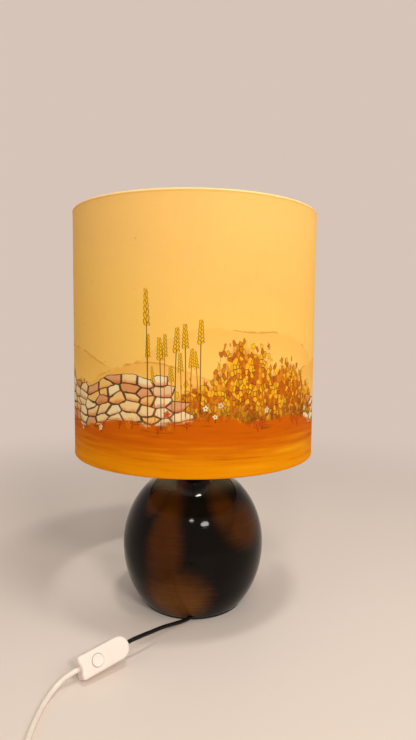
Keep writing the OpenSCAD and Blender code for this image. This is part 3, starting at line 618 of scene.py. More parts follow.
    def wheat(self):
        """Groups of tall wheat: bent stems whose ears carry kernels on both sides."""
        look = self.look
        rows = [
            (0.0105, 0.128, 0.0055, 0.0032, 23.0, look.leaf_deep),
            (0.0165, 0.180, 0.0085, 0.0040, 41.0, look.ink),
        ]
        ear_foot, pairs, kernel_place = 0.76, 6.0, 0.46
        for pitch, reach, lean, ear, seed, stalk in rows:
            column, number, (tall, side, sway) = self.columns(pitch, seed)
            stand = (number - seed + 0.5) * pitch
            grown = reduce(Value.most, [stand.between(*group, 0.010, 0.010) for group in WHEAT])
            there = grown.fade(0.2, 0.3)
            size = tall * (0.4 * reach) + 0.6 * reach
            rise = (self.height - self.edge + 0.002 + sway * 0.012) / size
            bend = side.swing(2 * lean) * rise * rise
            aside = (column - number - 0.5) * pitch - bend - sway.swing(0.3 * pitch)
            away = abs(aside)
            stem = (away - 0.0005).fade(0.0003, -0.0002) * rise.fade(0.0, 0.1)
            self.lay(stem * rise.fade(0.80, 0.78) * there * 0.9, stalk)
            up_ear = rise - ear_foot
            turn = up_ear / (1 - ear_foot) * pairs + aside.math("GREATER_THAN", 0.0) * 0.5
            step = turn - turn.math("FLOOR") - 0.5
            taper = ear * (1.0 - up_ear.most(0.0) * 2.0)
            across = (away / taper - kernel_place - step * 0.35) / kernel_place
            kernel = (across * across + step * step * 3.4) ** 0.5
            in_ear = rise.fade(0.755, 0.765) * rise.fade(1.0, 0.99) * there
            self.lay(kernel.fade(1.45, 1.2) * in_ear * 0.85, look.ink)
            self.lay(kernel.fade(1.0, 0.75) * in_ear, look.leaf)

    def grasses(self):
        """Tufts of blades that fan out from their foot, in three overlapping rows."""
        look = self.look
        rows = [
            (0.019, 0.024, 0.075, 3.0, 0.30, look.leaf_deep),
            (0.026, 0.036, 0.060, 17.0, 0.42, look.ink),
            (0.023, 0.030, 0.080, 29.0, 0.46, look.leaf),
        ]
        for pitch, reach, spread, seed, rare, colour in rows:
            column, tuft, (size, sway, rarity) = self.columns(pitch, seed)
            sideways = (column - tuft - 0.5 - sway.swing(0.3)) * pitch
            up = self.height - self.edge + 0.001 + rarity * 0.012
            root = up + 0.012
            angle = self.graph.math("ARCTAN2", sideways - up * up * sway.swing(9.0), root)
            blade = angle / spread + size * 7.0
            number = blade.math("FLOOR")
            luck = self.graph.lots(number + tuft * 31.0)[0]
            rise = up / ((luck * 0.65 + 0.35) * (size * 0.5 + 0.5) * reach)
            aside = abs(blade - number - 0.5) * spread * root
            drawn = (aside - (1.0 - rise) * 0.00032).fade(0.0002, -0.0002) * rise.fade(1.0, 0.9)
            drawn = drawn * (up - luck * 0.007).fade(0.0, 0.004) * abs(angle).fade(0.32, 0.26)
            self.lay(drawn * rarity.fade(rare, rare + 0.01) * 0.9, colour)

    def poppies(self):
        """Small flowers along the meadow's edge, with five petals, a stem and a dark heart."""
        graph, look = self.graph, self.look
        pitch = 0.016
        column, row = self.along / pitch, (self.height - self.edge) / pitch
        (first, second, third), (side, up), _, away = graph.cells(column, row, 1.0)
        across, lift = column - side, row - up
        petals = (graph.math("ARCTAN2", lift, across) * 5 + first * 6).math("COSINE")
        inside = (first * 0.07 + 0.15) * (petals * 0.22 + 1) - away
        there = second.fade(0.60, 0.61) * up.fade(-0.9, -0.8) * up.fade(0.9, 0.7)
        stem = abs(across + lift * (first - 0.5) * 0.6).fade(0.05, 0.02)
        stem = stem * lift.fade(-0.6, -0.4) * lift.fade(0.0, -0.1)
        self.lay(stem * there * 0.7, look.ink)
        self.lay(abs(inside).fade(0.05, 0.015) * there * 0.7, look.ink)
        petal = graph.mix(third.fade(0.66, 0.68), look.poppy, look.stone)
        self.lay(inside.fade(-0.01, 0.03) * there * 0.95, petal)
        self.lay((0.06 - away).fade(-0.01, 0.02) * there * 0.9, look.ink)

    def age_and_painted_rim(self):
        """Faint specks, a painted highlight along the rolled edge with a painted shadow line under
        it, and an uneven darkening.
        """
        look = self.look
        pitch = 0.024
        (luck, size, _), _, _, away = self.graph.cells(self.along / pitch, self.height / pitch, 1.0)
        speck = (size * 0.06 + 0.01 - away).fade(-0.02, 0.03) * luck.fade(0.87, 0.88)
        from_top = self.height - SHADE_H
        self.lay(speck * 0.25, look.leaf_deep)
        # Painted shadow: a thin dark line just under the rolled edge
        self.lay(abs(from_top + 0.0036).fade(0.0013, 0.0003) * 0.22, look.leaf_deep)
        # Painted highlight: the rolled edge is painted paler, as where it catches the light
        self.lay((from_top + 0.0021).fade(-0.0006, 0.0006) * 0.75, look.rim)
        self.lay(self.wash.fade(0.45, 0.8) * 0.10, look.ground_deep)

    def weave(self):
        """Ends the material with the cloth's weft and warp."""
        graph = self.graph
        weft, warp = self.streaks(60, 2600, 2.0), self.streaks(2600, 60, 2.0)
        thread = (weft + warp - 1.0) * 0.5 + 0.2
        return graph.surface(
            base_color=graph.mix(thread, self.painted, (0.84, 0.78, 0.66), "MULTIPLY"),
            roughness=0.62 + weft.swing(0.2),
            normal=graph.bump(weft + warp, 0.00012),
            specular_ior_level=0.04,
        )


def cloth_material():
    """Painted cloth: a pale sky over far hills, bushes, dry field walls and a meadow."""
    painting = ClothPainting(bpy.context.scene.lamp_shade)
    painting.hills()
    painting.bushes()
    painting.walls()
    painting.meadow()
    painting.wheat()
    painting.grasses()
    painting.poppies()
    painting.age_and_painted_rim()
    return painting.weave()


# Mesh tools


def cleaned(bm):
    """Merges doubles and turns the faces outwards."""
    bmesh.ops.remove_doubles(bm, verts=bm.verts, dist=TINY)
    bmesh.ops.recalc_face_normals(bm, faces=bm.faces)
    return bm


def spun(profile, steps, closed=False):
    """Turns an outline of (radius, height) points round the upright axis."""
    bm = bmesh.new()
    verts = [bm.verts.new((radius, 0, height)) for radius, height in profile]
    edges = [bm.edges.new(pair) for pair in zip(verts, verts[1:])]
    if closed:
        edges.append(bm.edges.new((verts[-1], verts[0])))
    bmesh.ops.spin(
        bm, geom=verts + edges, cent=(0, 0, 0), axis=(0, 0, 1), angle=FULL_TURN, steps=steps,
        use_merge=True,
    )
    return cleaned(bm)


def arc(middle, radii, start, end, count):
    """Points of an elliptic arc from one angle to another, in degrees."""
    (x, y), (wide, tall) = middle, radii
    angles = [math.radians(start + (end - start) * i / count) for i in range(count + 1)]
    return [(x + wide * math.cos(a), y + tall * math.sin(a)) for a in angles]


def flat_box(wide, tall, corner):
    """A flat face with rounded corners."""
    bm = bmesh.new()
    bmesh.ops.create_grid(bm, x_segments=1, y_segments=1, size=0.5)
    bmesh.ops.scale(bm, vec=(wide, tall, 1), verts=bm.verts)
    round_off(bm, bm.verts[:], corner, 6, "VERTICES")
    return bm


def round_off(bm, geom, offset, segments, affect="EDGES"):
    """Rounds edges, or the corners of a face."""
    bmesh.ops.bevel(
        bm, geom=geom, offset=offset, offset_type="OFFSET", segments=segments, profile=0.5,
        affect=affect, material=-1,
    )


def rim_at(bm, level):
    """The edges that lie flat at a level."""
    return [e for e in bm.edges if all(abs(v.co.z - level) < TINY for v in e.verts)]


def of_kind(grown, kind=bmesh.types.BMVert):
    """The vertices or the faces in the result of an extrusion."""
    return [part for part in grown["geom"] if isinstance(part, kind)]


def moved(bm, matrix):
    """Takes a whole mesh to its place."""
    bmesh.ops.transform(bm, matrix=matrix, verts=bm.verts)
    return bm


def laid(place, axis, way=1):
    """A quarter turn round an axis, then the move to a place."""
    return Matrix.Translation(place) @ Matrix.Rotation(way * math.pi / 2, 4, axis)


def as_object(bm, name, *materials):
    """Makes an object of a mesh, with its materials."""
    mesh = bpy.data.meshes.new(name)
    bm.to_mesh(mesh)
    bm.free()
    made = bpy.data.objects.new(name, mesh)
    bpy.context.scene.collection.objects.link(made)
    for material in materials:
        mesh.materials.append(material)
    return made


def carve(made, *cutters):
    """Cuts the cutters' forms out of a piece and removes them."""
    for cutter in cutters:
        cut = made.modifiers.new("Cut", "BOOLEAN")
        cut.operation = "DIFFERENCE"
        cut.solver = "EXACT"
        cut.object = cutter
    scene_now = bpy.context.evaluated_depsgraph_get()
    carved = bpy.data.meshes.new_from_object(made.evaluated_get(scene_now))
    made.modifiers.clear()
    made.data = carved
    for cutter in cutters:
        bpy.data.objects.remove(cutter)


def smooth(made, sharp_above):
    """Smooth shading, apart from edges sharper than an angle in degrees."""
    made.data.shade_smooth()
    made.data.set_sharp_from_angle(angle=math.radians(sharp_above))
    return made


def settle(made, body, slot, *nodes):
    """Sets a finished piece on its body and hides the solids that it stands for. The slot is not
    used.
    """
    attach(made, body)
    if nodes:
        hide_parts(*nodes)
    return made


def piece(bm, name, material, sharp_above, body, slot, *nodes):
    """Makes a smooth piece with one finish of a mesh, and sets it on its body."""
    return settle(smooth(as_object(bm, name, material), sharp_above), body, slot, *nodes)


def bar(name, radius, start, direction, length, segments=48):
    """A round bar along a direction, used as a cutter."""
    bm = bmesh.new()
    bmesh.ops.create_cone(
        bm, cap_ends=True, segments=segments, radius1=radius, radius2=radius, depth=length
    )
    turn = Vector(direction).to_track_quat("Z", "Y").to_matrix().to_4x4()
    middle = Vector(start) + Vector(direction).normalized() * length / 2
    return as_object(moved(bm, Matrix.Translation(middle) @ turn), name)


def finish_nodes(material, *names):
    """Gives a finish to solids that stay as they are."""
    for name in names:
        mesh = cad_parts[name].data
        mesh.materials.clear()
        mesh.materials.append(material)


# Pieces


class LAMP_OT_base(bpy.types.Operator):
    """Turn the glazed base and cut its cord outlet"""

    bl_idname = "lamp.base"
    bl_label = "Glazed base"

    def execute(self, context):
        look = context.scene.lamp_base
        ball = spun(self.outline(look), 160, closed=True)
        base = as_object(ball, "glazed_base", glaze_material())
        carve(base, *self.outlet(look))
        settle(smooth(base, 32), "base", "glaze", "base_ball")
        return {"FINISHED"}

    @staticmethod
    def outline(look):
        """Half of the ball's section: two arcs outside, two inside, and an open foot ring."""
        ball_r, waist, wall = BALL_HIGH.x, look.waist_z, look.wall
        foot_z, crown_z = BALL_LOW.z, BALL_HIGH.z
        hole_r = TUBE_R + 0.1 * MM
        lip_r, lip_z = look.foot_r - 14 * MM, foot_z + 6 * MM
        round_r, round_z, land_edge = 1.2 * MM, 1.0 * MM, 1.0 * MM
        low_axis = (waist - foot_z) / math.sqrt(1 - (look.foot_r / ball_r) ** 2)
        high_axis = (crown_z - waist) / math.sqrt(1 - (look.crown_r / ball_r) ** 2)
        inner_r, inner_low, inner_high = ball_r - wall, low_axis - wall, high_axis - wall
        crown_under = crown_z - wall
        foot_angle = math.degrees(math.asin((waist - foot_z) / low_axis))
        crown_angle = math.degrees(math.acos(look.crown_r / ball_r))
        inner_foot = math.degrees(math.asin((waist - lip_z) / inner_low))
        inner_crown = math.degrees(math.asin((crown_under - waist) / inner_high))
        middle = (0, waist)
        return [
            *arc((look.foot_r - round_r, foot_z + round_z), (round_r, round_z), -90, -40, 4),
            *arc(middle, (ball_r, low_axis), -foot_angle + 1.2, 0, 34),
            *arc(middle, (ball_r, high_axis), 2, crown_angle - 0.6, 38),
            (look.crown_r - land_edge, crown_z), (hole_r, crown_z), (hole_r, crown_under),
            *arc(middle, (inner_r, inner_high), inner_crown, 4, 16),
            *arc(middle, (inner_r, inner_low), 0, -inner_foot, 14),
            (lip_r, lip_z), (lip_r, foot_z),
        ]

    @staticmethod
    def outlet(look):
        """Cutters for the lead's way out: a round tunnel and a slit below it."""
        length, tall = 0.06, 0.006
        (x, y, z), (next_x, next_y, _) = BLACK_ROUTE[1:3]
        heading = Vector((next_x - x, next_y - y, 0)).normalized()
        start = Vector((x, y, z)) - heading * (length / 2)
        tunnel = bar("outlet_tunnel", look.outlet_r, start, heading, length)
        slit = bmesh.new()
        bmesh.ops.create_cube(slit, size=1)
        turn = heading.to_track_quat("X", "Z").to_matrix().to_4x4()
        size = Matrix.Diagonal((length, 2 * look.outlet_r, tall, 1))
        moved(slit, Matrix.Translation((x, y, z - tall / 2)) @ turn @ size)
        return tunnel, as_object(slit, "outlet_slit")


class LAMP_OT_shade(bpy.types.Operator):
    """Turn the painted shade with its rolled edges, and lay its glued seam at the back"""

    bl_idname = "lamp.shade"
    bl_label = "Painted shade"

    def execute(self, context):
        look = context.scene.lamp_shade
        roll, hem, cloth = look.roll_r, look.hem, look.cloth
        low, high = SHADE_LOW.z, SHADE_HIGH.z
        roll_mid, hem_in, skin_in = SHADE_R - roll, SHADE_R - 2 * roll, SHADE_R - cloth
        flat, groove, fold, rows = SHADE_R - 0.35 * MM, 2 * roll, 0.4 * MM, 24
        bm = spun([
            *arc((roll_mid, low + roll), (roll, roll), -180, 0, 12),
            *[(flat, low + groove + (high - low - 2 * groove) * i / rows) for i in range(rows + 1)],
            *arc((roll_mid, high - roll), (roll, roll), 0, 180, 12),
            (hem_in, high - hem + fold), (hem_in + fold, high - hem), (skin_in, high - hem),
            (skin_in, (low + high) / 2),
            (skin_in, low + hem), (hem_in + fold, low + hem), (hem_in, low + hem - fold),
        ], 192, closed=True)
        for face in bm.faces:
            centre = face.calc_center_median()
            inside = math.hypot(centre.x, centre.y) < skin_in + 0.2 * MM
            face.material_index = int(inside and low + hem < centre.z < high - hem)
        cloth_look = cloth_material()
        shade = smooth(as_object(bm, "painted_shade", cloth_look, liner_material()), 40)
        settle(shade, "shade", "shade_cloth", "shade_skin")
        self.seam(cloth_look, low + roll, high - roll, cloth)
        return {"FINISHED"}

    @staticmethod
    def seam(material, low, high, cloth):
        """The overlap of the cloth, a narrow raised strip at the back."""
        width, lift = 9 * MM, 0.35 * MM
        half = width / 2 / SHADE_R
        inner, outer = SHADE_R - 0.5 * cloth, SHADE_R + lift
        corners = [(inner, low), (outer, low + lift), (outer, high - lift), (inner, high)]
        bm = bmesh.new()
        face = bm.faces.new(
            [bm.verts.new((r * math.sin(half), r * math.cos(half), z)) for r, z in corners]
        )
        bmesh.ops.spin(bm, geom=[face], cent=(0, 0, 0), axis=(0, 0, 1), angle=2 * half, steps=6)
        piece(cleaned(bm), "shade_seam", material, 30, "shade", "shade_cloth")


class LAMP_OT_bulb(bpy.types.Operator):
    """Blow the bulb's opal glass"""

    bl_idname = "lamp.bulb"
    bl_label = "Opal bulb"

    def execute(self, context):
        wall, radius, rows = 0.8 * MM, BULB_HIGH.x, 18
        cap_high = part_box("bulb_cap")[1]
        neck_r, cap_top = cap_high.x - 1.6 * MM, cap_high.z
        middle = BULB_HIGH.z - radius

        def skin(inset):
            """From the neck up the flank to the top, at a depth in the glass."""
            neck, swell, rise = neck_r - inset, radius - neck_r, middle - cap_top
            shares = [i / rows for i in range(rows)]
            flank = [(neck + swell * ease(share), cap_top + rise * share) for share in shares]
            crown = arc((0, middle), (radius - inset, radius - inset), 0, 90, 20)
            return [(neck, BULB_LOW.z), *flank, *crown[:-1], (0, crown[-1][1])]

        light, dark = tone(246, 243, 235), tone(236, 231, 220)
        glass = mottled("opal_glass", light, dark, 0.22, 0.05, 30, 0.00001, coat_weight=0.4)
        bm = spun(skin(0) + skin(wall)[::-1], 96, closed=True)
        piece(bm, "opal_bulb", glass, 40, "base", "opal_glass", "bulb_glass")
        return {"FINISHED"}


class LAMP_OT_fittings(bpy.types.Operator):
    """Finish the solids that stay as they are: neck, lampholder, spider, contacts and screws"""

    bl_idname = "lamp.fittings"
    bl_label = "Fittings"

    # Name, light tone, dark tone, roughness, its spread, scale, bump, coat, then the solids
    MOTTLED = [
        ("black_felt", (30, 28, 27), (12, 11, 11), 0.95, 0.1, 420, 0.0004, 0, "foot_felt"),
        ("black_rubber", (24, 23, 22), (14, 13, 13), 0.6, 0.15, 160, 0.00003, 0, "cord_bush"),
        ("satin_black_metal", (30, 28, 27), (18, 17, 16), 0.36, 0.14, 80, 0.00002, 0,
         "top_cap", "neck_spacer"),
        ("black_holder", (28, 27, 26), (16, 15, 15), 0.28, 0.12, 60, 0.00002, 0.3,
         "holder_cap", "holder_sleeve", "shade_ring_lower", "shade_ring_upper"),
        ("steatite", (232, 224, 204), (214, 203, 180), 0.6, 0.2, 90, 0.00004, 0, "holder_core"),
        ("black_glass", (20, 20, 24), (8, 8, 10), 0.1, 0.04, 60, 0.0, 0, "bulb_insulator"),
        ("white_enamel", (240, 237, 229), (226, 222, 212), 0.34, 0.12, 50, 0.00003, 0,
         "shade_spider"),
        ("inner_sheath", (24, 23, 22), (14, 13, 13), 0.4, 0.1, 200, 0.00002, 0, "inner_lead"),
        ("brown_sheath", (104, 58, 28), (82, 44, 20), 0.4, 0.1, 200, 0.00002, 0, "holder_wires"),
    ]
    # Name, tone, roughness, then the solids
    TURNED = [
        ("zinc_plate", (196, 194, 186), 0.34, "crown_washer", "crown_nut", "threaded_tube",
         "holder_locknut", "shade_wire_top", "shade_wire_bottom", "switch_screws"),
        ("contact_brass", (214, 176, 98), 0.3, "centre_contact", "side_contact", "terminal_screws",
         "contact_bridge", "switch_contacts", "neutral_link"),
        ("bulb_alloy", (206, 204, 198), 0.28, "bulb_cap"),
        ("bright_nickel", (214, 210, 200), 0.16, "bulb_contact", "plug_pins"),
    ]

    def execute(self, context):
        for name, light, dark, roughness, spread, scale, bump, coat, *nodes in self.MOTTLED:
            tones = tone(*light), tone(*dark)
            made = mottled(name, *tones, roughness, spread, scale, bump, coat_weight=coat)
            finish_nodes(made, *nodes)
        for name, colour, roughness, *nodes in self.TURNED:
            finish_nodes(turned_metal(name, tone(*colour), roughness), *nodes)
        return {"FINISHED"}


def switch_place(look):
    """Where the switch lies: on the line of its leads, leaning, with its round end raised."""
    turned = Matrix.Rotation(look.switch_turn, 4, "Z") @ Matrix.Rotation(-look.switch_rise, 4, "Y")
    turned = turned @ Matrix.Rotation(look.switch_lean, 4, "X")
    to_end = Matrix.Translation((-look.switch_l / 2, 0, -look.switch_h / 2))
    return Matrix.Translation(Vector(BLACK_ROUTE[-2])) @ turned @ to_end


def switch_outline(look, inset, height):
    """The switch's outline as one face: a round end, two straight sides and a hollow end."""
    half_l, half_w = look.switch_l / 2, look.switch_w / 2
    hollow_r, hollow_depth, corner, least_corner = 14 * MM, 1.6 * MM, 2.8 * MM, 0.6 * MM
    side, round_x, left = half_w - inset, half_l - half_w, -half_l + inset
    radius, hollow_x = hollow_r + inset, -half_l - hollow_r + hollow_depth
    reach = math.acos((left - hollow_x) / radius)
    bm = bmesh.new()
    nose = bm.verts.new((round_x, -side, height))
    bmesh.ops.spin(bm, geom=[nose], cent=(round_x, 0, 0), axis=(0, 0, 1), angle=math.pi, steps=24)
    tip = max(bm.verts, key=lambda v: v.co.y)
    first = bm.verts.new((hollow_x + radius * math.cos(reach), radius * math.sin(reach), height))
    before = set(bm.verts)
    bmesh.ops.spin(
        bm, geom=[first], cent=(hollow_x, 0, 0), axis=(0, 0, 1), angle=-2 * reach, steps=14
    )
    last = min([v for v in bm.verts if v not in before], key=lambda v: v.co.y)
    corners = [bm.verts.new((left, y, height)) for y in (side, -side)]
    for pair in [(tip, corners[0]), (corners[0], first), (last, corners[1]), (corners[1], nose)]:
        bm.edges.new(pair)
    bmesh.ops.contextual_create(bm, geom=bm.edges[:])
    round_off(bm, corners, max(corner - inset, least_corner), 5, "VERTICES")
    return bm


def switch_block(look, name, inset, low, high, rims, *materials):
    """A solid on the switch's outline, with its lower and upper rims rounded."""
    bm = switch_outline(look, inset, low)
    grown = bmesh.ops.extrude_face_region(bm, geom=bm.faces[:])
    bmesh.ops.translate(bm, vec=(0, 0, high - low), verts=of_kind(grown))
    bmesh.ops.recalc_face_normals(bm, faces=bm.faces)
    for level, (offset, segments) in zip((low, high), rims):
        if offset:
            round_off(bm, rim_at(bm, level), offset, segments)
    return as_object(moved(bm, switch_place(look)), name, *materials)


class LAMP_OT_switch(bpy.types.Operator):
    """Mould the in-line switch: two shells and a dished push button on its spring"""

    bl_idname = "lamp.switch"
    bl_label = "Push switch"

    def execute(self, context):
        look = context.scene.lamp_cords
        place = switch_place(look)
        out = (place.to_3x3() @ Vector((0, 0, 1))).normalized()
        plastic = plastic_material("switch_plastic", look.plastic)
        self.shells(look, place, out, plastic)
        self.button(look, place)
        self.spring(look, place, out)
        finish_nodes(plastic, "cord_clamps")
        return {"FINISHED"}

    @staticmethod
    def shells(look, place, out, plastic):
        """Two hollow shells with a fine gap between them, open for the leads and the button."""
        gap, wall, play, lead_play = 0.12 * MM, 2 * MM, 0.5 * MM, 0.2 * MM
        split, top = look.switch_h / 2, look.switch_h
        along = (place.to_3x3() @ Vector((1, 0, 0))).normalized()
        middle = place @ Vector((0, 0, split))
        well = place @ Vector((-look.button_off, 0, split))
        seam, crown, sole = (0.25 * MM, 2), (2.6 * MM, 6), (2.7 * MM, 5)
        shells = {
            "switch_cover": ("switch_top", split + gap, top, (seam, crown)),
            "switch_base": ("switch_bottom", 0, split - gap, (sole, seam)),
        }
        for node, (name, low, high, rims) in shells.items():
            shell = switch_block(look, name, 0, low, high, rims, plastic)
            cutters = [
                switch_block(look, "room", wall, wall, top - wall, ((0, 1), (0, 1))),
                bar("white_way", look.white_d / 2 + lead_play, middle, -along, 0.04),
                bar("black_way", look.black_d / 2 + lead_play, middle, along, 0.04),
            ]
            if node == "switch_cover":
                cutters.append(bar("button_well", look.button_d / 2 + play, well, out, 0.02, 72))
            carve(shell, *cutters)
            settle(smooth(shell, 34), "base", "white_plastic", node)

    @staticmethod
    def button(look, place):
        """A dished cap on a flange that keeps it under the cover, and a guide stem."""
        radius, stem, rounding, dish = look.button_d / 2, 3 * MM, 0.9 * MM, 0.5 * MM
        top, foot = look.switch_h + 1.6 * MM, 4.8 * MM
        flange, flange_high, flange_t = radius + 1.6 * MM, look.switch_h - 2.3 * MM, 2.2 * MM
        flange_low = flange_high - flange_t
        bm = spun([
            (0, foot), (stem, foot), (stem, flange_low), (flange, flange_low),
            (flange, flange_high), (radius, flange_high),
            *arc((radius - rounding, top - rounding), (rounding, rounding), 0, 90, 8),
            *[(radius * share, top - dish * (1 - share ** 2)) for share in (0.8, 0.6, 0.4, 0.2, 0)],
        ], 72)
        moved(bm, place @ Matrix.Translation((-look.button_off, 0, 0)))
        plastic = plastic_material("button_plastic", tone(242, 231, 221))
        piece(bm, "push_button", plastic, 30, "button", "white_plastic", "switch_button")

    @staticmethod
    def spring(look, place, out):
        """A wound spring round the button's stem."""
        wire, radius, turns, steps, end = 0.38 * MM, 4 * MM, 4, 112, 0.4 * MM
        low, high, travel = 7 * MM, 14.9 * MM, 2.5 * MM
        bm = bmesh.new()
        bmesh.ops.create_circle(bm, cap_ends=True, segments=10, radius=wire)
        moved(bm, laid((radius, 0, low + end), "X"))
        climb = (0, 0, (high - low - 2 * end) / steps)
        bmesh.ops.spin(
            bm, geom=bm.faces[:], cent=(0, 0, 0), axis=(0, 0, 1), dvec=climb,
            angle=turns * FULL_TURN, steps=steps,
        )
        bmesh.ops.holes_fill(bm, edges=[e for e in bm.edges if e.is_boundary], sides=0)
        bmesh.ops.recalc_face_normals(bm, faces=bm.faces)
        moved(bm, place @ Matrix.Translation((-look.button_off, 0, 0)))
        steel = turned_metal("spring_steel", tone(196, 194, 186), 0.3)
        made = piece(bm, "wound_spring", steel, 40, "base", "zinc", "button_spring")
        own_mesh(made)


class LAMP_OT_plug(bpy.types.Operator):
    """Mould the flat plug, its ribbed boot and the sleeves on its pins"""

    bl_idname = "lamp.plug"
    bl_label = "Plug"

    def execute(self, context):
        look = context.scene.lamp_cords
        self.body(look)
        self.boot(look)
        self.sleeves()
        return {"FINISHED"}

    @staticmethod
    def body(look):
        """A flat body that widens from the boot to the pins."""
        length, wide, thick = PLUG_HIGH - PLUG_LOW
        neck, corner, rim, steps = 15 * MM, 4.6 * MM, 0.9 * MM, 16
        bm = flat_box(thick, neck, corner)
        front, width = bm.faces[:], neck
        for i in range(1, steps + 1):
            new_width = neck + (wide - neck) * ease(min(1.5 * i / steps, 1))
            grown = bmesh.ops.extrude_face_region(bm, geom=front)
            front, raised = of_kind(grown, bmesh.types.BMFace), of_kind(grown)
            bmesh.ops.translate(bm, vec=(0, 0, length / steps), verts=raised)
            bmesh.ops.scale(bm, vec=(1, new_width / width, 1), verts=raised)
            width = new_width
        bmesh.ops.recalc_face_normals(bm, faces=bm.faces)
        round_off(bm, rim_at(bm, length) + rim_at(bm, 0), rim, 4)
        middle = (PLUG_LOW + PLUG_HIGH) / 2
        moved(bm, laid((PLUG_LOW.x, middle.y, middle.z), "Y"))
        plastic = plastic_material("plug_plastic", look.plastic)
        piece(bm, "moulded_plug", plastic, 30, "base", "white_plastic", "plug_body")

    @staticmethod
    def boot(look):
        """A boot of soft ribs that narrows towards the lead."""
        length = BOOT_HIGH.x - BOOT_LOW.x
        root_r = (BOOT_HIGH.y - BOOT_LOW.y) / 2
        bore, tip_r = look.white_d / 2 + 0.1 * MM, look.white_d / 2 + 1.7 * MM
        ribs, groove, soft, soft_foot = 6, 0.9 * MM, 0.5 * MM, 0.55 * MM
        step = length / ribs
        outline = [(bore, 0)]
        for i in range(ribs):
            radius, low = root_r + (tip_r - root_r) * i / (ribs - 1), step * i
            outline += [
                *arc((radius - soft, low + soft_foot), (soft, soft), -80, 0, 3),
                *arc((radius - soft, low + 0.6 * step), (soft, soft), 0, 80, 3),
                (radius - groove, low + 0.72 * step), (radius - groove, low + 0.96 * step),
            ]
        outline += [(tip_r - groove, length), (bore, length)]
        middle = (BOOT_LOW + BOOT_HIGH) / 2
        bm = spun(outline, 48, closed=True)
        moved(bm, laid((BOOT_HIGH.x, middle.y, middle.z), "Y", -1))
        sheath = sheath_material("boot_sheath", look.sheath)
        piece(bm, "ribbed_boot", sheath, 35, "base", "white_lead", "plug_boot")

    @staticmethod
    def sleeves():
        """Thin insulating sleeves on the roots of both pins."""
        low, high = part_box("plug_pins")
        pin_r, inner, outer, length, edge = 2 * MM, 1.99 * MM, 2.06 * MM, 10 * MM, 0.2 * MM
        middle = (low + high) / 2
        reach = (high.y - low.y) / 2 - pin_r
        outline = [(inner, 0), (outer, 0), (outer, length - edge), (inner, length)]
        rubber = mottled("pin_sleeve", tone(34, 33, 32), tone(22, 21, 21), 0.42, 0.1, 150, 0.00001)
        for side, name in ((-1, "pin_sleeve_near"), (1, "pin_sleeve_far")):
            bm = spun(outline, 40, closed=True)
            moved(bm, laid((PLUG_HIGH.x, middle.y + side * reach, middle.z), "Y"))
            piece(bm, name, rubber, 35, "base", "black_rubber")


def lead(name, points, diameter, material, slot, *nodes):
    """A round lead along a smooth line through its points."""
    line = bpy.data.curves.new(name, "CURVE")
    line.dimensions = "3D"
    line.bevel_depth = diameter / 2
    line.bevel_resolution = 5
    line.resolution_u = 6
    line.use_fill_caps = True
    spline = line.splines.new("BEZIER")
    spline.bezier_points.add(len(points) - 1)
    for knot, point in zip(spline.bezier_points, points):
        knot.co = point
        knot.handle_left_type = "AUTO"
        knot.handle_right_type = "AUTO"
    line.materials.append(material)
    made = bpy.data.objects.new(name, line)
    bpy.context.scene.collection.objects.link(made)
    return settle(made, "base", slot, *nodes)


def line_length(points):
    """The length of a line through its points."""
    return sum((Vector(b) - Vector(a)).length for a, b in zip(points, points[1:]))


def coil_points(look):
    """The coil spirals in on the floor, climbs a layer as it turns back, and spirals out on top."""
    start = Vector(WHITE_ROUTE[-1])
    middle = start + Vector((look.coil_r, -look.white_d, 0))
    sweep = 4 * math.pi * look.coil_turns
    steps = round(24 * 2 * look.coil_turns)
    points = []
    for i in range(steps + 1):
        turned = sweep * i / steps
        radius = look.coil_r - look.coil_pitch * min(turned, sweep - turned) / FULL_TURN
        climb = look.coil_pitch * ease(min(max((turned - sweep / 2) / math.pi + 0.5, 0), 1))
        angle = math.pi + turned
        x, y = middle.x + radius * math.cos(angle), middle.y + radius * math.sin(angle)
        points.append((x, y, start.z + climb))
    return points


class LAMP_OT_cords(bpy.types.Operator):
    """Lay the two leads, with the spare length in a tied coil"""

    bl_idname = "lamp.cords"
    bl_label = "Leads"

    def execute(self, context):
        look = context.scene.lamp_cords
        black_sheath = sheath_material("black_sheath", tone(13, 12, 11), 0.2)
        black = lead(
            "black_lead", BLACK_ROUTE, look.black_d, black_sheath, "black_lead", "cord_black"
        )
        line_length(BLACK_ROUTE)
        path = WHITE_ROUTE[:-1] + coil_points(look) + TAIL_ROUTE
        white_sheath = sheath_material("white_sheath", look.sheath)
        white = lead(
            "white_lead", path, look.white_d, white_sheath, "white_lead",
            "cord_white", "cord_coil", "cord_tail",
        )
        line_length(path)
        self.tie()
        return {"FINISHED"}

    @staticmethod
    def tie():
        """A soft band round one side of the coil."""
        low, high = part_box("coil_tie")
        thick, corner = 1 * MM, 2.5 * MM
        bm = flat_box(high.x - low.x - thick, high.z - low.z - thick, corner)
        ring = bm.edges[:]
        bmesh.ops.delete(bm, geom=bm.faces[:], context="FACES_ONLY")
        grown = bmesh.ops.extrude_edge_only(bm, edges=ring)
        bmesh.ops.translate(bm, vec=(0, 0, high.y - low.y), verts=of_kind(grown))
        bmesh.ops.recalc_face_normals(bm, faces=bm.faces)
        middle = (low + high) / 2
        moved(bm, laid((middle.x, high.y, middle.z), "X"))
        bmesh.ops.solidify(bm, geom=bm.faces[:], thickness=thick / 2)
        rubber = mottled("tie_rubber", tone(32, 31, 30), tone(20, 19, 19), 0.55, 0.15, 140, 0.00003)
        return piece(bm, "coil_band", rubber, 40, "base", "black_rubber", "coil_tie")


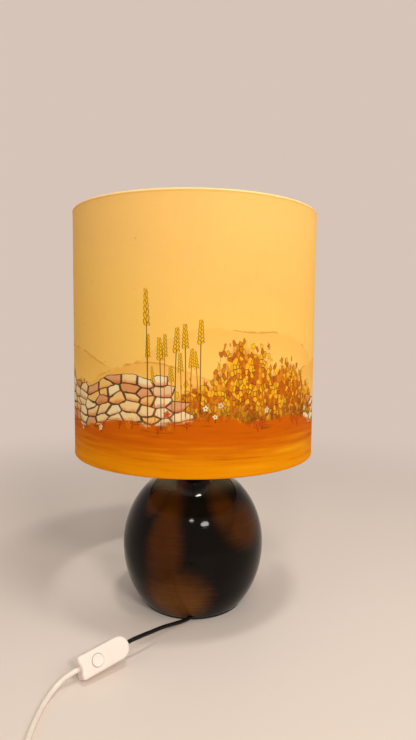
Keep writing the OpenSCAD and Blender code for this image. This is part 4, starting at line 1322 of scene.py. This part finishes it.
class LAMP_OT_stage(bpy.types.Operator):
    """Lay the floor, set the light and the camera"""

    bl_idname = "lamp.stage"
    bl_label = "Stage"

    def execute(self, context):
        look = context.scene.lamp_stage
        context.scene.view_settings.view_transform = "Standard"
        self.floor(look)
        self.world(context.scene, look)
        warm, plain = tone(255, 249, 241), tone(255, 251, 246)
        self.light("front", (0.87, -2.15, 1.60), (0.62, 0.28), 22.5, warm)
        self.light("front_small", (-0.13, -2.15, 1.84), (0.32, 0.13), 6.4, plain)
        self.light("ceiling", (0.255, -0.47, 2.0), (0.32, 0.16), 8, plain)
        self.light("into_shade", (0.25, -1.3, 1.85), (0.16, 0.10), 0.09, plain,
                   in_gloss=False, spread=5, aim=(0, 0.165, 0.39))
        self.light("side", (1.7, -0.95, 1.75), (1.8, 1.8), 15, warm, in_gloss=False)
        self.light("fill", (-1.8, -1.2, 1.0), (1.8, 1.8), 6.2, plain, in_gloss=False)
        self.camera(context.scene, look)
        return {"FINISHED"}

    @staticmethod
    def floor(look):
        """A wide floor that takes shadows near the lamp and runs into the backdrop far away."""
        graph = Graph("pale_floor")
        _, x, y, _ = graph.place()
        far = straight(x, y).fade(0.5, 1.4)
        paint = graph.node(
            "ShaderNodeBsdfPrincipled", None, {"Base Color": (*look.floor, 1), "Roughness": 0.5}
        )
        glow = graph.node(
            "ShaderNodeEmission", None, {"Color": (*look.backdrop, 1), "Strength": 1.0}
        )
        shader = graph.node("ShaderNodeMixShader", None, {0: far * graph.seen(), 1: paint, 2: glow})
        bm = bmesh.new()
        bmesh.ops.create_circle(bm, cap_ends=True, segments=96, radius=9)
        as_object(bm, "pale_floor", graph.close(shader))

    @staticmethod
    def world(scene, look):
        """The backdrop where it is seen, and a soft light from all round."""
        graph = Graph("studio", "worlds")
        soft_light = {"Color": (*tone(252, 246, 238), 1), "Strength": 0.35}
        soft = graph.node("ShaderNodeBackground", None, soft_light)
        pale = graph.node("ShaderNodeBackground", None, {"Color": (*look.backdrop, 1)})
        shader = graph.node("ShaderNodeMixShader", None, {0: graph.seen(), 1: soft, 2: pale})
        scene.world = graph.close(shader, "ShaderNodeOutputWorld")

    @staticmethod
    def light(name, place, size, energy, colour, in_gloss=True, spread=180, aim=(0, 0, 0.3)):
        """An oval lamp that faces its aim."""
        lamp = bpy.data.lights.new(name, "AREA")
        lamp.shape = "ELLIPSE"
        lamp.size, lamp.size_y = size
        lamp.energy = energy
        lamp.spread = math.radians(spread)
        lamp.color = colour
        made = bpy.data.objects.new(name, lamp)
        made.visible_glossy = in_gloss
        bpy.context.scene.collection.objects.link(made)
        turn = (Vector(aim) - Vector(place)).to_track_quat("-Z", "Y").to_matrix().to_4x4()
        made.matrix_world = Matrix.Translation(place) @ turn

    @staticmethod
    def camera(scene, look):
        """The photo's view: its place, its turn, its tilt and its slight lean."""
        view = bpy.data.cameras.new("photo_view")
        view.sensor_width = 36
        view.sensor_fit = "AUTO"
        view.lens = look.lens
        made = bpy.data.objects.new("photo_view", view)
        scene.collection.objects.link(made)
        flat = math.cos(look.pitch)
        ahead = Vector((
            math.sin(look.yaw) * flat, math.cos(look.yaw) * flat, -math.sin(look.pitch),
        ))
        level = Vector((math.cos(look.yaw), -math.sin(look.yaw), 0))
        upright = level.cross(ahead)
        right = level * math.cos(look.roll) + upright * math.sin(look.roll)
        up = upright * math.cos(look.roll) - level * math.sin(look.roll)
        axes = Matrix((right, up, -ahead)).transposed().to_4x4()
        made.matrix_world = Matrix.Translation(look.camera) @ axes
        scene.camera = made


class LAMP_PT_panel(bpy.types.Panel):
    """Lists the lamp's pieces and their settings"""

    bl_idname = "LAMP_PT_panel"
    bl_label = "Table Lamp"
    bl_space_type = "VIEW_3D"
    bl_region_type = "UI"
    bl_category = "Table Lamp"

    def draw(self, context):
        for operator in OPERATORS:
            self.layout.operator(operator.bl_idname)
        for key, group in SETTINGS.items():
            box = self.layout.box()
            for name in group.__annotations__:
                box.prop(getattr(context.scene, key), name)


OPERATORS = (
    LAMP_OT_stage, LAMP_OT_base, LAMP_OT_shade, LAMP_OT_bulb, LAMP_OT_fittings, LAMP_OT_switch,
    LAMP_OT_plug, LAMP_OT_cords,
)


def register():
    for group in SETTINGS.values():
        bpy.utils.register_class(group)
    for key, group in SETTINGS.items():
        setattr(bpy.types.Scene, key, PointerProperty(type=group))
    for operator in OPERATORS:
        bpy.utils.register_class(operator)
    bpy.utils.register_class(LAMP_PT_panel)


def unregister():
    bpy.utils.unregister_class(LAMP_PT_panel)
    for operator in reversed(OPERATORS):
        bpy.utils.unregister_class(operator)
    for key, group in SETTINGS.items():
        delattr(bpy.types.Scene, key)
        bpy.utils.unregister_class(group)


def main():
    register()
    for operator in OPERATORS:
        family, action = operator.bl_idname.split(".")
        getattr(getattr(bpy.ops, family), action)()


if __name__ == "__main__":
    main()
